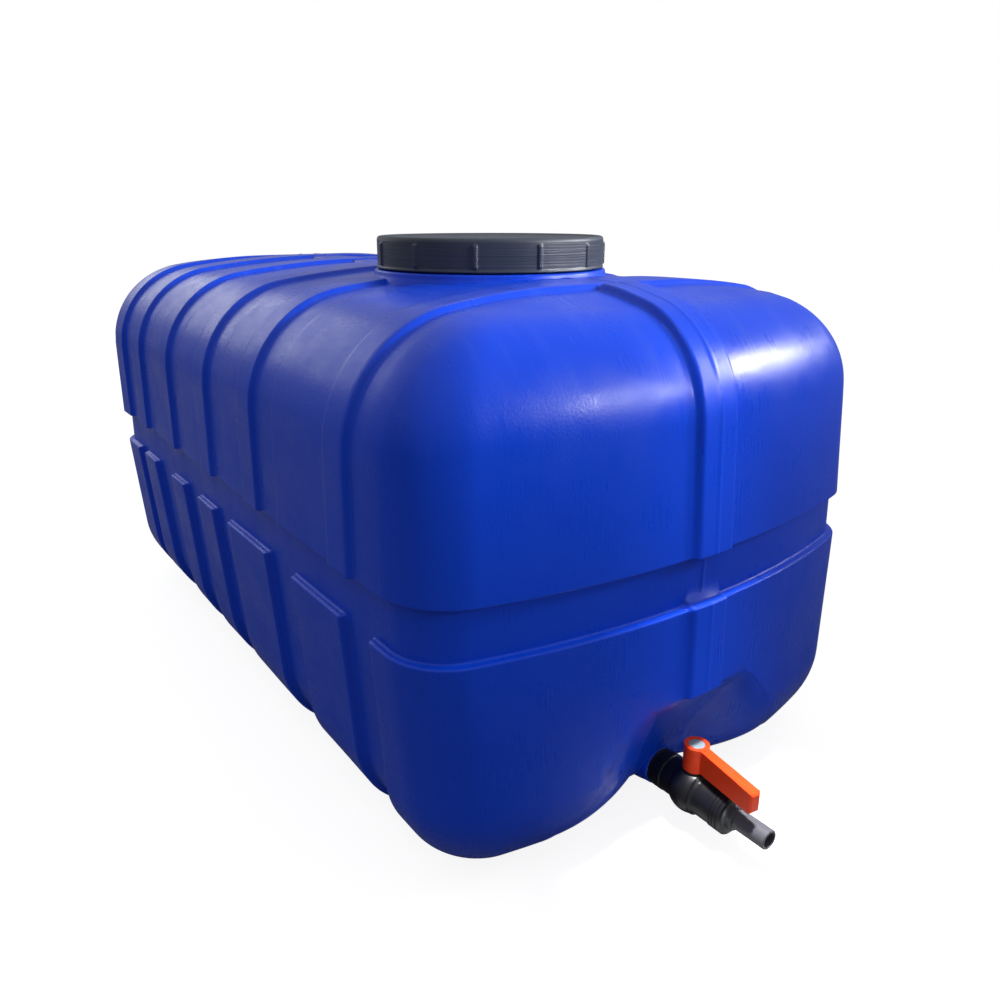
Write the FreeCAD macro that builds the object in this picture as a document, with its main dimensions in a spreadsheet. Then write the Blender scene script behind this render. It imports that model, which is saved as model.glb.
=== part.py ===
"""Water tank: a blow-moulded body on two feet, a screw lid and an outlet ball valve.

Millimetres. The origin is the centre of the underside, +X runs along the tank towards the
outlet valve and +Z is up. The valve's lever stands as it does in use, almost open.
"""
import FreeCAD, Part
import Sketcher
import math
import os

V = FreeCAD.Vector
os.makedirs("parts", exist_ok=True)
doc = FreeCAD.newDocument("water_tank")

# Driving sizes: name, value, what it is
SIZES = [
    ("half_length", 526.5, "body half length at the foot of the upper bulge"),
    ("half_width", 300.0, "body half width at the waist, between the ribs"),
    ("waist_low", 249.5, "height of the top edge of the lower bulge"),
    ("waist_high", 299.0, "height of the bottom edge of the upper bulge"),
    ("crown_height", 536.0, "height of the domed top between the ribs"),
    ("shoulder_top", 524.0, "height at which the shoulder curve would turn level"),
    ("shoulder_side", 120.0, "shoulder radius across the long sides"),
    ("shoulder_side_rise", 117.0, "height of the shoulder curve on the long sides"),
    ("shoulder_end", 90.0, "shoulder radius across the ends"),
    ("shoulder_end_rise", 97.0, "height of the shoulder curve on the ends"),
    ("side_draft", 0.02, "lean of the upper long sides, mm per mm of height"),
    ("end_draft", 0.071, "lean of the upper ends, mm per mm of height"),
    ("corner_radius", 76.0, "plan radius of the upper vertical corners"),
    ("low_corner_radius", 66.0, "plan radius of the lower vertical corners"),
    ("end_bow", 960.0, "plan radius of the bowed ends"),
    ("foot_side", 92.0, "radius under the long sides"),
    ("foot_side_rise", 98.0, "height of the curve under the long sides"),
    ("foot_end_rise", 102.0, "height of the curve under the ends"),
    ("low_side_draft", 0.071, "lean of the lower long sides, mm per mm of height"),
    ("low_end_draft", 0.033, "spread of the lower ends, mm per mm of depth"),
    ("wall", 4.5, "wall of the moulded body"),
    ("rib_rise", 5.0, "how far the upper ribs stand out"),
    ("panel_rise", 2.0, "how far the panels between the ribs stand out"),
    ("rib_width", 47.0, "width of an upper rib"),
    ("flank_run", 5.0, "slope of a rib's flank, measured along the tank"),
    ("waist_depth", 8.0, "depth of the waist band and of the lower grooves"),
    ("sole_half_width", 165.0, "half width of the flat underside"),
    ("channel_half_width", 45.0, "half width of the channel behind the outlet recess"),
    ("channel_length", 150.0, "length of that channel"),
    ("strip_half_width", 24.0, "half width of the raised centre strip"),
    ("strip_rise", 3.0, "how far the centre strip stands out"),
    ("recess_top", 153.0, "height of the outlet recess"),
    ("recess_half_top", 82.0, "half width of the outlet recess at its top"),
    ("recess_half_foot", 112.0, "half width of the outlet recess at the floor"),
    ("recess_corner", 32.0, "radius of the upper corners of the outlet recess"),
    ("recess_turn", 72.0, "height at which the recess turns upright"),
    ("recess_foot_radius", 30.0, "radius from the recess into the channel"),
    ("recess_face_x", 480.0, "place of the upright face of the recess"),
    ("neck_x", 169.0, "place of the filling neck along the tank"),
    ("neck_radius", 122.0, "outside radius of the neck"),
    ("neck_bore", 113.0, "radius of the neck's opening"),
    ("neck_top", 570.2, "height of the neck's rim"),
    ("collar_radius", 134.0, "radius of the collar below the lid"),
    ("collar_top", 541.5, "height of that collar"),
    ("collar_edge", 2.5, "radius round the collar's top edge"),
    ("neck_edge", 1.5, "radius round the neck's rim"),
    ("lid_radius", 130.6, "radius of the lid's skirt"),
    ("lid_skirt", 4.0, "wall of the lid's skirt"),
    ("lid_drop", 34.5, "height of the lid"),
    ("lid_plate", 4.0, "thickness of the lid's top"),
    ("lid_edge", 3.0, "radius round the lid's top edge"),
    ("lid_bead", 0.8, "how far the bead at the lid's foot stands out"),
    ("grip_rise", 2.0, "how far the lid's grip ribs stand out"),
    ("grip_width", 3.0, "width of a grip rib"),
    ("grip_count", 12.0, "number of grip ribs"),
    ("grip_turn", 16.4, "angle of the first grip rib"),
    ("gasket_thick", 3.0, "thickness of the lid's gasket"),
    ("outlet_height", 39.0, "height of the valve's axis above the floor"),
    ("boss_radius", 27.0, "radius of the moulded outlet boss"),
    ("boss_face_x", 484.0, "place of the outer face of the boss"),
    ("boss_depth", 22.0, "length of the boss"),
    ("thread_radius", 16.7, "outside radius of the threaded tails"),
    ("flow_radius", 12.5, "radius of the way through fitting and ball"),
    ("fit_gap", 0.2, "gap round a threaded or pressed piece"),
    ("run_gap", 0.08, "gap round the turning stem"),
    ("ball_gap", 0.2, "gap between the ball and its seats"),
    ("flange_radius", 23.5, "radius of the fitting's flange"),
    ("flange_thick", 6.0, "thickness of the fitting's flange"),
    ("washer_thick", 3.0, "thickness of the rubber washers"),
    ("washer_radius", 22.0, "radius of the inner washer"),
    ("nut_radius", 20.6, "radius of the nut and of the outer washer"),
    ("nut_thick", 14.0, "thickness of the nut"),
    ("inlet_radius", 20.0, "radius of the valve's inlet socket"),
    ("inlet_length", 28.5, "from the inlet's face to the ball's centre"),
    ("outlet_length", 50.0, "from the ball's centre to the outlet's face"),
    ("outlet_radius", 21.6, "radius of the valve's outlet socket"),
    ("housing_radius", 25.5, "radius of the bulge round the ball"),
    ("ring_thick", 2.4, "width of a ring on the outlet socket"),
    ("ring_pitch", 4.0, "from one ring to the next"),
    ("blank", 60.0, "side of the blocks that trim the boss and the stem"),
    ("ball_radius", 16.0, "radius of the ball"),
    ("chamber_gap", 1.2, "gap between the ball and its chamber"),
    ("inlet_wall", 3.0, "thickness of the wall behind the inner seat"),
    ("seat_thick", 6.5, "thickness of a ball seat"),
    ("carrier_length", 12.0, "length of the seat carrier"),
    ("oring_thick", 2.4, "thickness of the carrier's seal"),
    ("seal_thick", 3.0, "thickness of the outlet seal"),
    ("stem_radius", 6.0, "radius of the stem"),
    ("stem_shoulder", 7.6, "radius of the stem's inner shoulder"),
    ("shoulder_thick", 2.0, "thickness of that shoulder"),
    ("tang_width", 4.0, "width of the stem's tang in the ball's slot"),
    ("tang_depth", 3.0, "depth of the ball's slot"),
    ("stem_seal", 1.7, "thickness of the stem's seals"),
    ("stem_square", 8.0, "across the flats of the stem's square end"),
    ("stem_top", 83.5, "height of the stem's end"),
    ("stem_boss_top", 64.2, "height of the boss round the stem"),
    ("hub_radius", 12.85, "radius of the lever's hub"),
    ("hub_lift", 0.6, "gap between the stem boss and the hub"),
    ("hub_top", 92.5, "height of the hub's top"),
    ("lever_reach", 82.0, "from the stem to the lever's end"),
    ("lever_root_width", 10.5, "width of the lever at the hub"),
    ("lever_end_width", 12.5, "width of the lever at its end"),
    ("lever_foot", 66.6, "height of the lever's lower edge"),
    ("lever_droop", 4.0, "fall of the lever's top towards its end"),
    ("lever_bevel", 2.0, "bevel on the lever's end"),
    ("lever_angle", -7.2, "angle of the lever from the pipe, as in use"),
    ("cap_radius", 8.5, "radius of the cap in the hub"),
    ("cap_thick", 3.5, "thickness of that cap"),
    ("screw_radius", 2.0, "radius of the lever's screw"),
    ("screw_head", 4.0, "radius of the screw's head"),
    ("screw_head_thick", 2.6, "thickness of the screw's head"),
    ("screw_length", 10.0, "length of the screw's shank"),
    ("bush_collar", 13.2, "radius of the bush's collar"),
    ("bush_collar_length", 8.0, "how far the bush stands out of the valve"),
    ("bush_tail", 19.0, "length of the bush inside the valve"),
    ("spigot_radius", 10.3, "outside radius of the hose spigot"),
    ("spigot_bore", 7.8, "bore of the hose spigot"),
    ("spigot_reach", 36.0, "how far the spigot stands out of the bush"),
    ("spigot_seat", 17.0, "how deep the spigot sits in the bush"),
    ("spigot_step", 0.3, "step between the spigot's two radii, which rests on the bush"),
]

# Places of the upper ribs' +X edges, and of the panels' first edges, along the tank
RIB_EDGES = [-373.0, -275.0, -135.0, 17.0, 168.0, 383.5]
PANEL_STARTS = [None, None, -232.0, -96.0, 62.0, 216.0]
# First and last edge of each raised pad on the lower bulge, and where the end caps begin
PADS = [(-348.0, -277.0), (-202.0, -137.0), (-83.5, -12.0), (34.5, 164.0), (229.5, 349.0)]
FAR_CAP_EDGE = -376.0
NEAR_CAP_EDGE = 399.0

SHOULDER_END = math.radians(82)
# How fast the plan corners tighten as the sides curve in, and their least radius
UPPER_CORNER_SHRINK = 0.5
LOWER_CORNER_SHRINK = 0.3
LEAST_CORNER = 8.0
RIM_RINGS = 4
DOME_STEPS = [0.3, 0.6, 0.85, 0.96]
CURVE_STEPS = 6
FAR = 2000.0

sheet = doc.addObject("Spreadsheet::Sheet", "Sizes")
for row, (alias, number, note) in enumerate(SIZES, start=1):
    sheet.set("A%d" % row, alias)
    sheet.set("B%d" % row, str(number))
    sheet.set("C%d" % row, note)
    sheet.setAlias("B%d" % row, alias)
doc.recompute()

SUBPARTS = []


def size(alias):
    """One driving size from the sheet."""
    return float(sheet.get(alias))


def sum_of(*terms):
    """Expression that adds driving sizes; a term may start with a minus sign."""
    text = ""
    for term in terms:
        sign = "-" if term.startswith("-") else "+"
        text += " %s Sizes.%s" % (sign, term.lstrip("-"))
    return "0" + text


def value(expression):
    """Number that an expression of the sheet's sizes stands for."""
    return float(sheet.evalExpression(expression))


def keep(obj, label):
    """Name a finished sub-part, which also names its file."""
    obj.Label = label
    SUBPARTS.append(obj)
    return obj


def bind(obj, **expressions):
    """Tie properties of an object to expressions."""
    for name, expression in expressions.items():
        obj.setExpression(name.replace("__", "."), expression)
    return obj


def place(obj, x="0", y="0", z="0"):
    """Tie an object's position to expressions."""
    return bind(obj, Placement__Base__x=x, Placement__Base__y=y, Placement__Base__z=z)


TURN_TO_X = FreeCAD.Rotation(V(0, 1, 0), 90)


def rod(name, radius, length, x="0", z="0", along_x=True):
    """Cylinder along the valve's axis, or upright, with its sizes tied."""
    obj = doc.addObject("Part::Cylinder", name)
    if along_x:
        obj.Placement = FreeCAD.Placement(V(), TURN_TO_X)
    bind(obj, Radius=radius, Height=length)
    return place(obj, x=x, z=z)


def block(name, length, width, height, x, z):
    """Box centred across Y."""
    obj = doc.addObject("Part::Box", name)
    bind(obj, Length=length, Width=width, Height=height)
    return place(obj, x=x, y="-(%s) / 2" % width, z=z)


def ball_shape(name, radius, x, z):
    obj = doc.addObject("Part::Sphere", name)
    bind(obj, Radius=radius)
    return place(obj, x=x, z=z)


def ring_shape(name, middle, thick, x="0", z="0", along_x=True):
    obj = doc.addObject("Part::Torus", name)
    if along_x:
        obj.Placement = FreeCAD.Placement(V(), TURN_TO_X)
    bind(obj, Radius1=middle, Radius2=thick)
    return place(obj, x=x, z=z)


def fused(name, pieces):
    obj = doc.addObject("Part::MultiFuse", name)
    obj.Shapes = pieces
    return obj


def cut(name, base, tool):
    obj = doc.addObject("Part::Cut", name)
    obj.Base = base
    obj.Tool = tool
    return obj


# Body of the tank

def inset_at(height, start, across, up):
    """Inset of a quarter curve at a height above its start."""
    share = min(max((height - start) / up, 0.0), 1.0)
    return across * (1 - math.sqrt(1 - share * share))


def upper_level(height, out):
    """Half length, half width and corner radius of the upper bulge at one height."""
    top = size("shoulder_top") + out
    rise_side = size("shoulder_side_rise") + out
    rise_end = size("shoulder_end_rise") + out
    side = inset_at(height, top - rise_side, size("shoulder_side") + out, rise_side)
    end = inset_at(height, top - rise_end, size("shoulder_end") + out, rise_end)
    above = height - size("waist_high")
    a = size("half_length") + out - size("end_draft") * above - end
    b = size("half_width") + out - size("side_draft") * above - side
    r = size("corner_radius") + out - UPPER_CORNER_SHRINK * side
    return a, b, max(r, LEAST_CORNER)


def upper_heights(out):
    """Heights of the sections through the shoulder of the upper bulge."""
    top = size("shoulder_top") + out
    rise = size("shoulder_side_rise") + out
    start = top - rise
    heights = [start]
    for step in range(1, CURVE_STEPS + 1):
        heights.append(start + rise * math.sin(SHOULDER_END * step / CURVE_STEPS))
    return heights


def lower_level(height, out):
    """Half length, half width and corner radius of the lower bulge at one height."""
    bottom = -out
    rise_side = size("foot_side_rise") + out
    rise_end = size("foot_end_rise") + out
    under = size("foot_side") + out
    side = inset_at(-height, -bottom - rise_side, under, rise_side)
    end = inset_at(-height, -bottom - rise_end, under, rise_end)
    below = size("waist_low") - height
    a = size("half_length") + out + size("low_end_draft") * below - end
    b = size("half_width") + out - size("low_side_draft") * below - side
    r = size("low_corner_radius") + out - LOWER_CORNER_SHRINK * side
    return a, b, max(r, LEAST_CORNER)


def plan_outline(a, b, r, height):
    """Closed outline at one height: straight sides, round corners, bowed ends."""
    bow = size("end_bow")
    middle = a - bow
    reach = middle + math.sqrt((bow - r) ** 2 - (b - r) ** 2)
    turn = math.asin((b - r) / (bow - r))
    mid = (turn + math.pi / 2) / 2

    def at(x, y):
        return V(x, y, height)

    def on_corner(angle, sx, sy):
        return at(sx * (reach + r * math.cos(angle)), sy * (b - r + r * math.sin(angle)))

    edges = []
    for sx, sy in ((1, 1), (-1, 1), (-1, -1), (1, -1)):
        first, last = (turn, math.pi / 2) if sx * sy > 0 else (math.pi / 2, turn)
        edges.append(Part.Arc(on_corner(first, sx, sy), on_corner(mid, sx, sy),
                              on_corner(last, sx, sy)).toShape())
        if sx * sy > 0:
            edges.append(Part.makeLine(at(sx * reach, sy * b), at(-sx * reach, sy * b)))
        else:
            edges.append(Part.Arc(on_corner(turn, sx, sy), at(sx * a, 0),
                                  on_corner(turn, sx, -sy)).toShape())
    return Part.Wire(edges)


def upper_core(out):
    """Upper bulge between the ribs, moved out or in from the moulded surface."""
    foot = size("waist_high") - out
    heights = upper_heights(out)
    wires = [plan_outline(*upper_level(height, out), height) for height in heights]
    wall = Part.makeLoft([plan_outline(*upper_level(foot, out), foot), wires[0]], True, True)
    start = heights[-1]
    a, b, r = upper_level(start, out)
    rise = size("crown_height") + out - start
    for share in DOME_STEPS:
        dome_b = b * math.sqrt(1 - share)
        wires.append(plan_outline(a * (1 - share) ** 0.1, dome_b, min(r, 0.6 * dome_b),
                                  start + rise * share))
    return wall.fuse(Part.makeLoft(wires, True, False, False, 3))


def lower_core(out, top):
    """Lower bulge, from its underside up to a height."""
    bottom = -out
    rise = size("foot_side_rise") + out
    wires = []
    for step in range(CURVE_STEPS + 1):
        height = bottom + rise * (1 - math.cos(math.pi / 2 * step / CURVE_STEPS))
        wires.append(plan_outline(*lower_level(height, out), height))
    wall = Part.makeLoft([wires[-1], plan_outline(*lower_level(top, out), top)], True, True)
    return wall.fuse(Part.makeLoft(wires, True, False, False, 3))


def waist(out):
    """Straight band between the two bulges."""
    depth = out - size("waist_depth")
    low = size("waist_low") - size("wall") - 2
    high = size("waist_high") + size("wall") + 2
    a = size("half_length") + depth
    b = size("half_width") + depth
    outline = plan_outline(a, b, size("corner_radius") + depth, low)
    return Part.Face(outline).extrude(V(0, 0, high - low))


def across(x, points):
    """Points (y, z) of a cross-section at one place along the tank."""
    return [V(x, y, z) for y, z in points]


def smooth(points):
    curve = Part.BSplineCurve()
    curve.interpolate(points)
    return curve.toShape()


def rib_section(x, out):
    """Cross-section of the upper bulge at one place along the tank."""
    foot = size("waist_high") - min(out, 0)
    half = [(upper_level(z, out)[1], z) for z in upper_heights(out)]
    wall_foot = (upper_level(foot, out)[1], foot)
    right = across(x, half)
    left = across(x, [(-y, z) for y, z in half])
    crown = V(x, 0, size("crown_height") + out)
    edges = [Part.makeLine(V(x, *wall_foot), right[0]), smooth(right),
             Part.Arc(right[-1], crown, left[-1]).toShape(),
             smooth(left[::-1]), Part.makeLine(left[0], V(x, -wall_foot[0], foot)),
             Part.makeLine(V(x, -wall_foot[0], foot), V(x, *wall_foot))]
    return Part.Wire(edges)


def pad_section(x, out, top):
    """Cross-section of the lower bulge at one place along the tank."""
    bottom = -out
    rise = size("foot_side_rise") + out
    half = []
    for step in range(CURVE_STEPS + 1):
        height = bottom + rise * (1 - math.cos(math.pi / 2 * step / CURVE_STEPS))
        half.append((lower_level(height, out)[1], height))
    right = across(x, half)
    left = across(x, [(-y, z) for y, z in half])
    rim = lower_level(top, out)[1]
    edges = [smooth(right), Part.makeLine(right[-1], V(x, rim, top)),
             Part.makeLine(V(x, rim, top), V(x, -rim, top)),
             Part.makeLine(V(x, -rim, top), left[-1]), smooth(left[::-1]),
             Part.makeLine(left[0], right[0])]
    return Part.Wire(edges)


def stepped(section, stations):
    """Solid through cross-sections at places along the tank."""
    wires = [section(x, out) for x, out in stations]
    return Part.makeLoft(wires, True, True)


def ribs(inset):
    """Raised ribs and panels over the upper bulge."""
    sunk = -6.0 - inset
    run = size("flank_run")
    rib = size("rib_rise") - inset
    panel = size("panel_rise") - inset
    solids = []
    for edge, start in zip(RIB_EDGES, PANEL_STARTS):
        rib_start = edge - size("rib_width")
        if start is None:
            stations = [(rib_start - run + inset, sunk), (rib_start + inset, rib)]
        else:
            stations = [(start - run + inset, sunk), (start + inset, panel),
                        (rib_start + inset, panel), (rib_start + run + inset, rib)]
        stations += [(edge - run - inset, rib), (edge - inset, sunk)]
        solids.append(stepped(rib_section, stations))
    return solids


def pads(inset):
    """Raised pads round the lower bulge, down the sides and across the underside."""
    sunk = -size("waist_depth") - 3.0 - inset
    run = size("flank_run")
    top = size("waist_low") - inset
    solids = []
    for first, last in PADS:
        stations = [(first + inset, sunk), (first + run + inset, -inset),
                    (last - run - inset, -inset), (last - inset, sunk)]
        solids.append(stepped(lambda x, out: pad_section(x, out, top), stations))
    return solids


def slab(x0, x1, y=FAR, z0=-FAR, z1=FAR):
    """Box between two places along the tank, centred across it."""
    return Part.makeBox(x1 - x0, 2 * y, z1 - z0, V(x0, -y, z0))


def end_caps(inset):
    """Lower bulge beyond the pads, at both ends."""
    whole = lower_core(-inset, size("waist_low") - inset)
    return [whole.common(slab(NEAR_CAP_EDGE + inset, FAR)),
            whole.common(slab(-FAR, FAR_CAP_EDGE - inset))]


def sole(inset):
    """Flat underside that joins the pads."""
    return lower_core(-inset, size("waist_low")).common(
        slab(-FAR, FAR, size("sole_half_width") - inset, -FAR, size("foot_side_rise") / 2))


def strips():
    """Raised strip along the parting line, over the top and down both ends."""
    rise = size("strip_rise")
    half = size("strip_half_width")
    high = upper_core(rise)
    low = lower_core(rise, size("waist_low"))
    clear_of_neck = size("collar_radius") + rise
    trim = slab(-FAR, FAR, FAR, size("waist_high"), FAR)
    near = high.common(slab(RIB_EDGES[-1] - size("flank_run"), FAR, half)).common(trim)
    far = high.common(slab(-FAR, size("neck_x") - clear_of_neck, half)).common(trim)
    feet = slab(-FAR, FAR, half, size("foot_end_rise"), FAR)
    near_low = low.common(feet).common(slab(NEAR_CAP_EDGE, FAR))
    far_low = low.common(feet).common(slab(-FAR, FAR_CAP_EDGE))
    return [near, far, near_low, far_low]


def recess(grow):
    """Room for the outlet under the near end, and the channel that leads from it."""
    face = size("recess_face_x") - grow
    roof = size("waist_depth") + grow
    radius = size("recess_foot_radius") - grow
    turn = size("recess_turn") + grow
    top = size("recess_top") + grow
    lip = size("half_length") + size("low_end_draft") * (size("waist_low") - size("recess_top"))
    lean = (lip - size("recess_face_x")) / (size("recess_top") - size("recess_turn"))
    bend = math.sqrt(0.5)
    foot = V(face - radius, 0, roof)
    knee = V(face - radius + radius * bend, 0, roof + radius * (1 - bend))
    heel = V(face, 0, roof + radius)
    upright = V(face, 0, turn)
    high = V(face + lean * 3 * (top - turn), 0, turn + 3 * (top - turn))
    out = V(FAR, 0, high.z)
    low = V(FAR, 0, -FAR)
    back = V(foot.x, 0, -FAR)
    edges = [Part.Arc(foot, knee, heel).toShape(), Part.makeLine(heel, upright),
             Part.makeLine(upright, high), Part.makeLine(high, out),
             Part.makeLine(out, low), Part.makeLine(low, back), Part.makeLine(back, foot)]
    side_on = Part.Face(Part.Wire(edges)).extrude(V(0, 2 * FAR, 0))
    side_on.translate(V(0, -FAR, 0))
    channel_half = size("channel_half_width") + grow
    channel = slab(foot.x - size("channel_length") - grow, foot.x + radius, channel_half,
                   -FAR, roof)
    return side_on.common(recess_arch(grow, top)).fuse(channel)


def recess_arch(grow, top):
    """Outline of the recess seen along the tank, drawn out over the near end."""
    half_top = size("recess_half_top") + grow
    half_foot = size("recess_half_foot") + grow
    corner = size("recess_corner")
    bend = math.sqrt(0.5)

    def point(y, z):
        return V(0, y, z)

    side = top - corner
    flare = half_foot + (half_foot - half_top)
    edges = []
    for sign in (1, -1):
        edges.append(Part.Arc(point(sign * half_top, side),
                              point(sign * (half_top - corner * (1 - bend)),
                                    side + corner * bend),
                              point(sign * (half_top - corner), top)).toShape())
        edges.append(Part.makeLine(point(sign * half_top, side),
                                   point(sign * flare, side - 2 * side)))
    edges.append(Part.makeLine(point(half_top - corner, top), point(corner - half_top, top)))
    edges.append(Part.makeLine(point(flare, -side), point(-flare, -side)))
    return Part.Face(Part.Wire(Part.__sortEdges__(edges))).extrude(V(FAR, 0, 0))


def upright_drum(radius, low, high):
    return Part.makeCylinder(radius, high - low, V(size("neck_x"), 0, low))


def outlet_drum(radius, x0, x1):
    return Part.makeCylinder(radius, x1 - x0, V(x0, 0, size("outlet_height")), V(1, 0, 0))


def neck_outside():
    """Neck with the collar that the lid comes down on."""
    below = size("crown_height") - 4 * size("wall")
    collar = upright_drum(size("collar_radius"), below, size("collar_top"))
    top_edges = [e for e in collar.Edges if abs(e.CenterOfMass.z - size("collar_top")) < 0.01]
    collar = collar.makeFillet(size("collar_edge"), top_edges)
    neck = upright_drum(size("neck_radius"), below, size("neck_top"))
    top_edges = [e for e in neck.Edges if abs(e.CenterOfMass.z - size("neck_top")) < 0.01]
    return collar.fuse(neck.makeFillet(size("neck_edge"), top_edges))


def tank_shell():
    """The moulded body in one piece."""
    wall = size("wall")
    outside = lower_core(-size("waist_depth"), size("waist_low"))
    outside = outside.fuse([waist(0), upper_core(0), sole(0)] + pads(0) + end_caps(0) + ribs(0)
                           + strips())
    outside = outside.cut(recess(0))
    boss_back = size("boss_face_x") - size("boss_depth")
    hollow = lower_core(-size("waist_depth") - wall, size("waist_low"))
    hollow = hollow.fuse([waist(-wall), upper_core(-wall), sole(wall)] + pads(wall)
                         + end_caps(wall) + ribs(wall))
    hollow = hollow.cut(recess(wall))
    boss = outlet_drum(size("boss_radius"), boss_back, size("boss_face_x"))
    hole = outlet_drum(size("thread_radius") + size("fit_gap"), boss_back - wall, FAR)
    shell = outside.fuse(neck_outside()).cut(hollow).fuse(boss)
    bore = upright_drum(size("neck_bore"), size("crown_height") - 6 * wall, FAR)
    return shell.cut(bore).cut(hole).removeSplitter()


def build_tank():
    feature = doc.addObject("Part::Feature", "TankShell")
    feature.Shape = tank_shell()
    feature.Placement = FreeCAD.Placement(V(0, 0, 0), FreeCAD.Rotation())
    keep(feature, "tank_shell")


# Turned pieces, drawn as half profiles

def turned(label, profile, upright, x="0", z="0"):
    """Body of revolution; each corner of its profile is tied to expressions.

    A corner is (along, radius), and the axis lies along X or, if upright, along Z.
    """
    body = doc.addObject("PartDesign::Body", label + "_body")
    sketch = body.newObject("Sketcher::SketchObject", label + "_profile")
    plane = [f for f in body.Origin.OriginFeatures if f.Role == "XZ_Plane"][0]
    sketch.AttachmentSupport = [(plane, "")]
    sketch.MapMode = "FlatFace"
    corners = []
    for along, radius in profile:
        here = (value(radius), value(along)) if upright else (value(along), value(radius))
        ties = (radius, along) if upright else (along, radius)
        corners.append((here, ties))
    count = len(corners)
    for number in range(count):
        start = corners[number][0]
        end = corners[(number + 1) % count][0]
        sketch.addGeometry(Part.LineSegment(V(*start, 0), V(*end, 0)), False)
    for number in range(count):
        after = (number + 1) % count
        sketch.addConstraint(Sketcher.Constraint("Coincident", number, 2, after, 1))
    for number, (here, ties) in enumerate(corners):
        for kind, amount, tie in zip(("DistanceX", "DistanceY"), here, ties):
            index = sketch.addConstraint(Sketcher.Constraint(kind, -1, 1, number, 1, amount))
            sketch.setExpression("Constraints[%d]" % index, tie)
    turn = body.newObject("PartDesign::Revolution", label + "_turn")
    turn.Profile = sketch
    turn.ReferenceAxis = (sketch, ["V_Axis" if upright else "H_Axis"])
    turn.Angle = 360
    place(body, x=x, z=z)
    return body


AXIS = "Sizes.outlet_height"
LID_TOP = sum_of("neck_top", "gasket_thick", "lid_plate", "fit_gap", "fit_gap")
LID_FOOT = "%s - Sizes.lid_drop" % LID_TOP
LID_UNDER = "%s - Sizes.lid_plate" % LID_TOP
SKIRT_INNER = sum_of("lid_radius", "-lid_skirt")


def build_lid():
    """Screw lid: plate, skirt and grip ribs."""
    bead = "(Sizes.lid_radius + Sizes.lid_bead)"
    body = turned("lid", [
        (LID_UNDER, "0"), (LID_UNDER, SKIRT_INNER), (LID_FOOT, SKIRT_INNER),
        (LID_FOOT, bead), ("%s + 2" % LID_FOOT, bead),
        ("%s + 2.6" % LID_FOOT, "Sizes.lid_radius"),
        (LID_TOP, "Sizes.lid_radius"), (LID_TOP, "Sizes.lid_radius - 9"),
        ("%s - 1" % LID_TOP, "Sizes.lid_radius - 11"), ("%s - 1" % LID_TOP, "0"),
    ], True, x="Sizes.neck_x")
    doc.recompute()
    turn = body.Tip
    rim = [i for i, e in enumerate(turn.Shape.Edges, start=1)
           if abs(e.BoundBox.ZMin - value(LID_TOP)) < 0.01
           and abs(e.BoundBox.XMax - size("lid_radius")) < 0.01]
    edge = body.newObject("PartDesign::Fillet", "lid_rim")
    edge.Base = (turn, ["Edge%d" % i for i in rim])
    bind(edge, Radius="Sizes.lid_edge")
    grip = body.newObject("Sketcher::SketchObject", "grip_outline")
    plane = [f for f in body.Origin.OriginFeatures if f.Role == "XY_Plane"][0]
    grip.AttachmentSupport = [(plane, "")]
    grip.MapMode = "FlatFace"
    bind(grip, AttachmentOffset__Base__z="%s + 0.5" % LID_FOOT)
    near = sum_of("lid_radius", "-lid_skirt") + " + 1"
    tip = sum_of("lid_radius", "grip_rise")
    half = "Sizes.grip_width / 2"
    corners = [(near, "-" + half), (tip, "-%s * 0.6" % half), (tip, "%s * 0.6" % half),
               (near, half)]
    for number, (x, y) in enumerate(corners):
        start = V(value(x), value(y), 0)
        after = corners[(number + 1) % 4]
        end = V(value(after[0]), value(after[1]), 0)
        grip.addGeometry(Part.LineSegment(start, end), False)
    for number in range(4):
        grip.addConstraint(Sketcher.Constraint("Coincident", number, 2, (number + 1) % 4, 1))
    for number, (x, y) in enumerate(corners):
        for kind, tie in (("DistanceX", x), ("DistanceY", y)):
            index = grip.addConstraint(
                Sketcher.Constraint(kind, -1, 1, number, 1, value(tie)))
            grip.setExpression("Constraints[%d]" % index, tie)
    pad = body.newObject("PartDesign::Pad", "grip_rib")
    pad.Profile = grip
    bind(pad, Length="Sizes.lid_drop - Sizes.lid_edge - 1.5")
    pattern = body.newObject("PartDesign::PolarPattern", "grip_ribs")
    pattern.Originals = [pad]
    pattern.Axis = (grip, ["N_Axis"])
    pattern.Angle = 360
    bind(pattern, Occurrences="Sizes.grip_count")
    body.Tip = pattern
    body.Placement = FreeCAD.Placement(V(), FreeCAD.Rotation(V(0, 0, 1), size("grip_turn")))
    place(body, x="Sizes.neck_x")
    keep(body, "lid")


def build_lid_gasket():
    low = sum_of("neck_top", "fit_gap")
    high = sum_of("neck_top", "fit_gap", "gasket_thick")
    outer = sum_of("neck_radius", "fit_gap")
    inner = "Sizes.neck_bore - 1"
    body = turned("lid_gasket", [(low, inner), (low, outer), (high, outer), (high, inner)],
                  True, x="Sizes.neck_x")
    keep(body, "lid_gasket")


# Outlet fitting, from inside the tank to the valve. Places run along X.

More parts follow.
